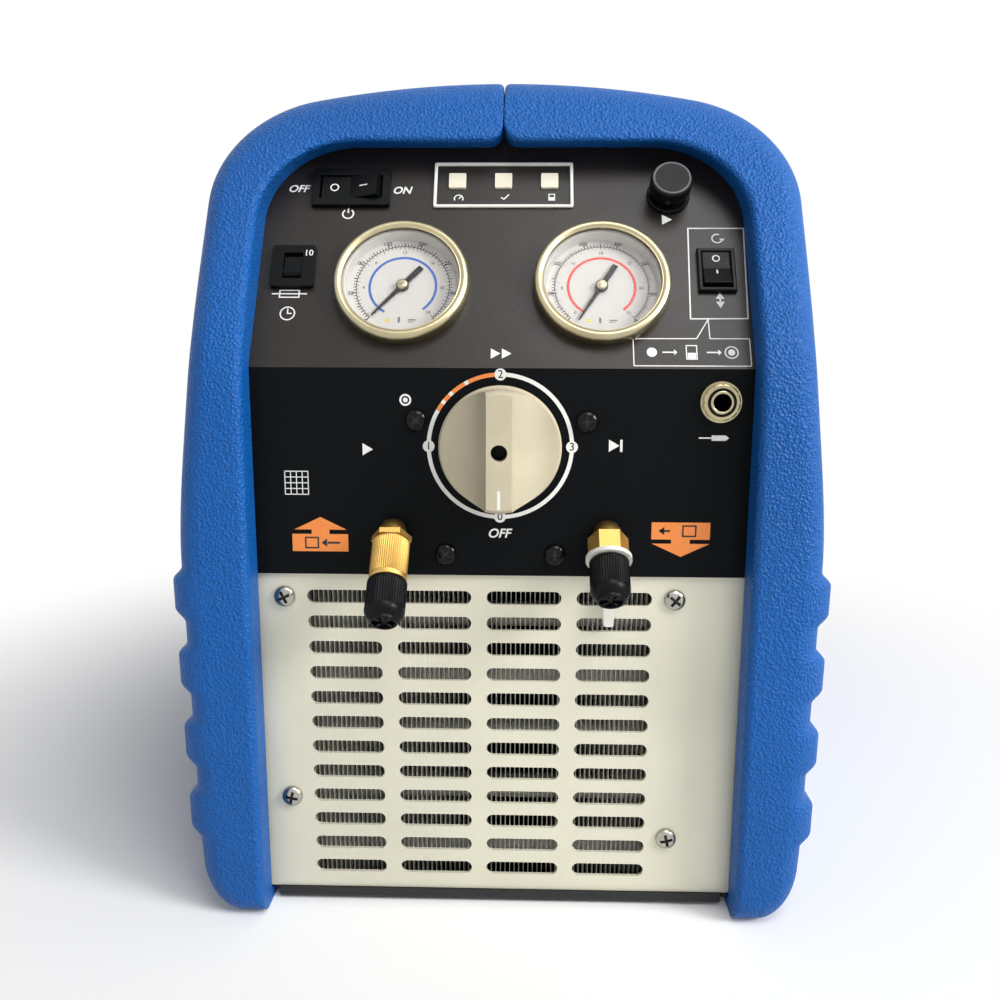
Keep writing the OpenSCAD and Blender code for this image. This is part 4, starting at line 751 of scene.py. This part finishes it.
def gauge_face(name, x, arc_ink, needle, outer, inner):
    """Printed dial: two rows of numbers on a tick circle, a coloured arc, and the brass hub of the pointer."""
    up = at(UPPER, x, GAUGE_S)
    lines, pale, arc = Print(up, DIAL_TOP + 0.03), Print(up, DIAL_TOP + 0.03), Print(up, DIAL_TOP + 0.04)

    def spot(share, r):
        a = math.radians(SCALE_FIRST - SCALE_SPAN * share)
        return r * math.cos(a), r * math.sin(a)

    lines.ring(0, 0, 17.65, 17.95, SCALE_FIRST - SCALE_SPAN, SCALE_FIRST, 140)
    for k in range(71):
        long = k % 10 == 0 and 1.6 or k % 5 == 0 and 1.3 or 1.0
        lines.line(*spot(k / 70, 17.9), *spot(k / 70, 17.9 + long), 0.34 if k % 5 else 0.45)
    for k, text in enumerate(outer):
        lines.words(text, *spot(k / (len(outer) - 1), 20.1), 2.3, weight=0.04)
    for k in range(1, 51):
        pale.line(*spot(k / 50, 17.7), *spot(k / 50, 16.8 if k % 5 else 16.3), 0.26)
    for k, text in enumerate(inner):
        pale.words(text, *spot(k / (len(inner) - 1), 15.0), 1.9, weight=0.03)
    arc.ring(0, 0, 12.2, 13.2, -51, 239.5, 100)
    lines.make(name + "_scale", "ink_black")
    pale.make(name + "_inner_scale", "ink_grey")
    arc.make(name + "_arc", arc_ink)
    foot = Print(up, DIAL_TOP + 0.03).shape([(-1.2, -15.6), (-0.4, -15.6), (-0.4, -13.2), (-1.2, -13.2)])
    foot.line(2.6, -14.4, 5.6, -14.4, 0.5).line(2.6, -15.3, 4.8, -15.3, 0.35)
    foot.make(name + "_foot", "ink_grey")
    Print(up, DIAL_TOP + 0.03).disc(-5.1, -14.6, 0.9).make(name + "_dot", "ink_yellow")
    lathe(name + "_collar", up, [(22.55, 3.4), (21.8, 3.4), (21.5, 3.1), (20.9, -0.96)], "collar", "case", 96)
    hub = [(0, 1.5), (1.2, 1.45), (1.8, 1.25), (2.05, 0.9), (2.1, 0.62)]
    lathe(name + "_hub", up, hub, "bezel", needle)
    case = lathe(name + "_bezel", up, GAUGE_PROFILE, "bezel", "case", 128)
    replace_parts(case, name + "_gauge")
    # The slot of the hub is not cut: a grey line stands for the shade in it, painted shade
    Print(up, 1.53).line(-1.2, -0.5, 1.2, 0.5, 0.35).make(name + "_hub_slot", "ink_grey", needle)


def small_fittings():
    """Lip of the jack socket, lighter grey rim and groove of the start button, and the tab of the cap's strap.
    """
    lip = [(3.3, 3.22), (3.35, 3.45), (3.6, 3.6), (4.0, 3.6), (4.25, 3.4), (4.3, 3.22)]
    lathe("jack_lip", at(LOWER, *JACK_AT), lip, "bezel", "case")
    start = at(UPPER, *START_AT)
    rim = [(7.3, START_H - 0.4), (7.2, START_H + 0.12), (6.6, START_H + 0.16), (6.4, START_H)]
    lathe("start_rim", start, rim, "light_grey_rim", "start")
    groove = [(7.87, START_H - 1.9), (7.95, START_H - 2.2), (7.95, 6.4), (7.87, 6.1)]
    lathe("start_groove", start, groove, "plastic", "start")
    tab = [(-2.7, 138.5), (-1.7, 119.4), (-1.2, 119.0), (1.5, 118.9), (2.0, 119.3), (2.9, 138.5)]
    n = len(tab)
    verts = [(41.6 + x, PANEL_Y - out, z) for out in (1.9, 0.6) for x, z in tab]
    sides = [(k, k + n, (k + 1) % n + n, (k + 1) % n) for k in range(n)]
    piece("strap_tab", verts, [tuple(range(n)), tuple(range(2 * n - 1, n - 1, -1))] + sides, "white", "case")


def cross_reach(angle, slot, reach):
    """Radius of the outline of a cross recess in a direction."""
    a = abs((angle + math.pi / 4) % (math.pi / 2) - math.pi / 4)
    return min(reach / math.cos(a), slot / math.sin(a) if a > 0 else reach)


def screw_head(radius, height, slot=0.58, reach=2.5):
    """Points, faces and count of recess faces of a domed cross-head, standing on its plane."""
    corner = math.atan(slot / reach)
    quarter = [-corner, -corner / 2, 0, corner / 2] + steps(corner, math.pi / 2 - corner, 8)[:-1]
    angles = [a + k * math.pi / 2 for k in range(4) for a in quarter]
    verts = [(0, 0, 0.35 * height)]

    def ring(out, level=None):
        for a in angles:
            low = cross_reach(a, slot, reach)
            r = low + (radius - low) * out
            z = level if level is not None else height * (0.3 + 0.7 * (1 - (r / radius) ** 2.2) ** 0.6)
            verts.append((r * math.cos(a), r * math.sin(a), z))

    ring(0, 0.35 * height)
    for out in (0, 0.2, 0.45, 0.7, 0.86, 0.95, 1):
        ring(out)
    ring(1, 0)
    n = len(angles)
    faces = [(0, 1 + k, 1 + (k + 1) % n) for k in range(n)]
    for j in range(1, len(verts) - n, n):
        faces += [(j + k, j + n + k, j + n + (k + 1) % n, j + (k + 1) % n) for k in range(n)]
    return verts, faces, 2 * n


def screws(name, node, places, seat, finish, turn):
    """Screw heads on the upright half of the panel that stand for a node."""
    parts = []
    for k, (x, z) in enumerate(places):
        spin = at(LOWER, x, z) @ Matrix.Translation((0, 0, seat)) @ Matrix.Rotation(turn * (k + 1), 4, "Z")
        verts, faces, recess = screw_head(SCREW_R, SCREW_H)
        parts.append(([(spin @ Vector(v))[:] for v in verts], faces))
    heads = piece(name, *merged(parts), finish, "case", 40)
    # The cross recess faces take the painted shade and highlight colour
    heads.data.materials.append(M["recess"])
    for face in heads.data.polygons:
        face.material_index = int(face.index % len(faces) < recess)
    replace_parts(heads, node)


def panel_screws():
    low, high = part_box("grille_screws")
    left, right = 1000 * low[0] + SCREW_R, 1000 * high[0] - SCREW_R
    grille = [(left, 129), (right, 129), (left, 45.4), (right, 29.3)]
    screws("grille_screw_heads", "grille_screws", grille, -1.5, "screw", 0.45)
    valve = [(-31.3, KNOB_Z + 9.6), (32.2, KNOB_Z + 9.4), (-20.6, KNOB_Z - 41.3), (20.9, KNOB_Z - 41.3)]
    screws("valve_screw_heads", "valve_screws", valve, 0.1, "black_steel", 0.8)


PORT_X, PORT_Z, ELBOW_OUT, PORT_DIP = 40.4, 155.3, 4, math.radians(45)
FILTER_FROM, CAP_IN_FROM, CAP_OUT_FROM, ELBOW_REACH = 3.5, 20.6, 11.3, 1.3


def port_fittings():
    """Filter body and caps with a fine knurl; the caps end in a recess with four lugs."""
    def axis(side, along):
        elbow = at(LOWER, side * PORT_X, PORT_Z) @ Matrix.Translation((0, 0, ELBOW_OUT))
        return elbow @ Matrix.Rotation(PORT_DIP, 4, "X") @ Matrix.Translation((0, 0, along))

    body = [(0, 12.3), (4.8, 12.3), (4.8, 0), (6.4, 0), (6.8, 0.3), (7.0, 0.9), (7.0, 1.1, 0.3),
            (7.0, 14.9, 0.3), (7.0, 15.1), (7.0, 16.2), (6.7, 16.8), (6.3, 17), (4.5, 17), (4.5, 28.6),
            (4.1, 29), (0, 29)]
    filter_body = lathe("filter_body", axis(-1, FILTER_FROM), body, "brass", "filter", teeth=52)
    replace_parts(filter_body, "input_filter")
    cap = [(0, 13.4), (4.8, 13.4), (4.8, 0), (6.6, 0), (7.1, 0.3), (7.35, 0.8), (7.35, 1.4), (7.35, 1.5, 0.28),
           (7.35, 11.4, 0.28), (7.35, 11.5), (7.35, 12.3), (7.2, 13.2), (6.7, 14.3), (5.8, 15.4), (5.3, 15.7),
           (5.2, 16.6), (4.9, 16.95), (4.4, 17), (4.1, 16.7), (3.95, 15.7), (0, 15.6)]
    lugs = merged([block(1.7, 3.9, -0.55, 0.55, 15.5, 16.6, math.radians(45 + 90 * k)) for k in range(4)])
    caps = (("input", -1, CAP_IN_FROM, "input_cover"), ("output", 1, CAP_OUT_FROM, "output_cover"))
    for name, side, along, carrier in caps:
        cover = lathe(name + "_cap_knurled", axis(side, along), cap, "plastic", carrier, teeth=44, extra=lugs)
        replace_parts(cover, name + "_cap")


def dress_faces(node, finish, chosen):
    """A second finish on the faces of a node whose centre, in millimetres, is chosen."""
    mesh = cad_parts[node].data
    mesh.materials.append(M[finish])
    for face in mesh.polygons:
        if chosen(face.center / MM):
            face.material_index = len(mesh.materials) - 1


def split_finishes():
    """Painted shade on the brass elbows behind the bright nuts, and a painted sheen, a lighter and warmer
    black, on the leaning half of the panel.
    """
    def in_elbow(c):
        return (PANEL_Y - ELBOW_OUT - c.y) + (PORT_Z - c.z) < ELBOW_REACH * math.sqrt(2)

    # The elbow faces take the painted shade colour
    for node in ("input_port", "output_port"):
        dress_faces(node, "brass_painted_shade", in_elbow)
    # The leaning faces of the panel take the painted sheen colour
    dress_faces("control_panel", "panel_painted_sheen", lambda c: c.z > BEND_Z + 1)


def condenser_collars():
    """Rolled collars of the fins, which cover the tubes between the end plates."""
    fin_low, fin_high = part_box("condenser_fins")
    middle = 500 * (fin_low[1] + fin_high[1])
    for k in range(FIN_ROWS):
        z = 1000 * fin_low[2] + FIN_PITCH * (k + 0.5)
        sleeve = Matrix.Translation((1000 * fin_low[0], middle, z)) @ Matrix.Rotation(math.radians(90), 4, "Y")
        length = 1000 * (fin_high[0] - fin_low[0])
        tube = [(FIN_COLLAR_R, 0), (FIN_COLLAR_R, length)]
        lathe("fin_collar_%d" % (k + 1), sleeve, tube, "fins", "case", 24)


def rear_sheet():
    """Rear panel with a plain fold: nothing of its leaning half stands out below the fold line."""
    sheet = bpy.data.objects.new("rear_sheet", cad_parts["rear_panel"].data.copy())
    for point in sheet.data.vertices:
        if point.co.y > (REAR_Y + 0.01) * MM:
            point.co.y = (REAR_Y - 0.4) * MM
    bpy.context.collection.objects.link(sheet)
    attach(sheet, "case")
    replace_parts(sheet, "rear_panel")
    levels = (REAR_BEND_Z - 24, REAR_BEND_Z, OPENING_TOP - 1)
    verts = [(sx * (OPENING_HW + 2), panel_rear(z) + SEAT_GAP / 2, z) for z in levels for sx in (1, -1)]
    fold = piece("rear_fold", verts, [(0, 1, 3, 2), (2, 3, 5, 4)], "panel", "case")


def tray_lip():
    """Folded front edge of the tray under the grille."""
    y0, y1, z0, z1, x = PANEL_Y + 0.4, PANEL_Y + 3.2, 1.6, 5.3, 90
    section = ((y0, z0 + 0.5), (y0, z1), (y1, z1), (y1, z0), (y0 + 0.5, z0))
    verts = [(sx * x, y, z) for sx in (-1, 1) for y, z in section]
    faces = [(0, 1, 2, 3, 4), (9, 8, 7, 6, 5)] + [(5 + k, 5 + (k + 1) % 5, (k + 1) % 5, k) for k in range(5)]
    piece("tray_lip", verts, faces, "tray", "case")


port_fittings()
panel_screws()
split_finishes()
condenser_collars()
rear_sheet()
tray_lip()
selector_marks()
panel_marks()
port_plates()
switch_marks()
gauge_face("suction", -GAUGE_X, "ink_blue", "suction_needle",
           ("0", "50", "100", "150", "200", "250", "300", "350"), ("0", "4", "8", "12", "16", "20", "24"))
gauge_face("discharge", GAUGE_X, "ink_red", "discharge_needle",
           ("0", "100", "200", "300", "400", "500", "600", "800"), ("0", "8", "16", "24", "32", "40", "55"))
small_fittings()


# Floor, light and camera
def studio():
    mesh = bpy.data.meshes.new("floor")
    r = FLOOR_REACH
    mesh.from_pydata([(-r, -r, 0), (r, -r, 0), (r, r, 0), (-r, r, 0)], [], [(0, 1, 2, 3)])
    f = Finish("pale_floor", linear(244, 244, 244), 0.8, specular=0.1)
    # Away from the object the floor is plain white, so it runs into the backdrop without a line
    rays = f.add("ShaderNodeLightPath")
    seen = rays.outputs["Is Camera Ray"]
    for kind in ("Is Glossy Ray", "Is Transmission Ray"):
        total = f.add("ShaderNodeMath", operation="MAXIMUM")
        f.link(seen, total.inputs[0]).link(rays.outputs[kind], total.inputs[1])
        seen = total.outputs["Value"]
    reach = f.add("ShaderNodeVectorMath", operation="LENGTH")
    fade = f.add("ShaderNodeMapRange", interpolation_type="SMOOTHSTEP")
    fade.inputs["From Min"].default_value, fade.inputs["From Max"].default_value = 0.15, 0.5
    share = f.add("ShaderNodeMath", operation="MULTIPLY")
    white = f.add("ShaderNodeEmission")
    white.inputs["Strength"].default_value = 1
    mix = f.add("ShaderNodeMixShader")
    f.link(f.coords, reach.inputs[0]).link(reach.outputs["Value"], fade.inputs["Value"])
    f.link(fade.outputs["Result"], share.inputs[0]).link(seen, share.inputs[1])
    f.link(share.outputs["Value"], mix.inputs["Fac"])
    f.link(f.shader.outputs["BSDF"], mix.inputs[1]).link(white.outputs["Emission"], mix.inputs[2])
    f.link(mix.outputs["Shader"], f.tree.nodes["Material Output"].inputs["Surface"])
    mesh.materials.append(f.material)
    floor = bpy.data.objects.new("floor", mesh)
    bpy.context.collection.objects.link(floor)

    world = bpy.data.worlds.new("studio")
    bpy.context.scene.world = world
    world.use_nodes = True
    tree = world.node_tree
    background = tree.nodes["Background"]
    background.inputs["Color"].default_value = (1, 1, 1, 1)
    rays = tree.nodes.new("ShaderNodeLightPath")
    level = tree.nodes.new("ShaderNodeMapRange")
    level.inputs["To Min"].default_value, level.inputs["To Max"].default_value = WORLD_LIGHT, 1
    seen = rays.outputs["Is Camera Ray"]
    for kind in ("Is Glossy Ray", "Is Transmission Ray"):
        total = tree.nodes.new("ShaderNodeMath")
        total.operation = "MAXIMUM"
        tree.links.new(seen, total.inputs[0])
        tree.links.new(rays.outputs[kind], total.inputs[1])
        seen = total.outputs["Value"]
    tree.links.new(seen, level.inputs["Value"])
    tree.links.new(level.outputs["Result"], background.inputs["Strength"])

    def lamp(name, place, size, power):
        data = bpy.data.lights.new(name, "AREA")
        data.shape, data.size, data.energy = "DISK", size, power
        obj = bpy.data.objects.new(name, data)
        obj.location = place
        obj.rotation_euler = (Vector((0, 0, AIM_Z)) - Vector(place)).to_track_quat("-Z", "Y").to_euler()
        bpy.context.collection.objects.link(obj)

    lamp("key", (1.7, -1.0, 1.15), 0.8, 40)
    lamp("fill", (-1.7, -1.5, 0.9), 1.4, 1)
    lamp("top", (0.42, -0.9, 1.62), 0.9, 13)


def photo_camera():
    right = (0.99967, 0.02555, 0.00325)
    down = (0.00788, -0.18354, -0.98298)
    forward = (-0.02452, 0.98268, -0.18368)
    data = bpy.data.cameras.new("camera")
    data.sensor_width, data.lens = 36, 33.84
    camera = bpy.data.objects.new("camera", data)
    turn = Matrix((right, [-v for v in down], [-v for v in forward])).transposed()
    camera.matrix_world = Matrix.Translation(Vector((8.67, -533.85 + CASE_Y, 232.8)) * MM) @ turn.to_4x4()
    bpy.context.collection.objects.link(camera)
    bpy.context.scene.camera = camera


studio()
photo_camera()
bpy.context.scene.view_settings.view_transform = "Standard"
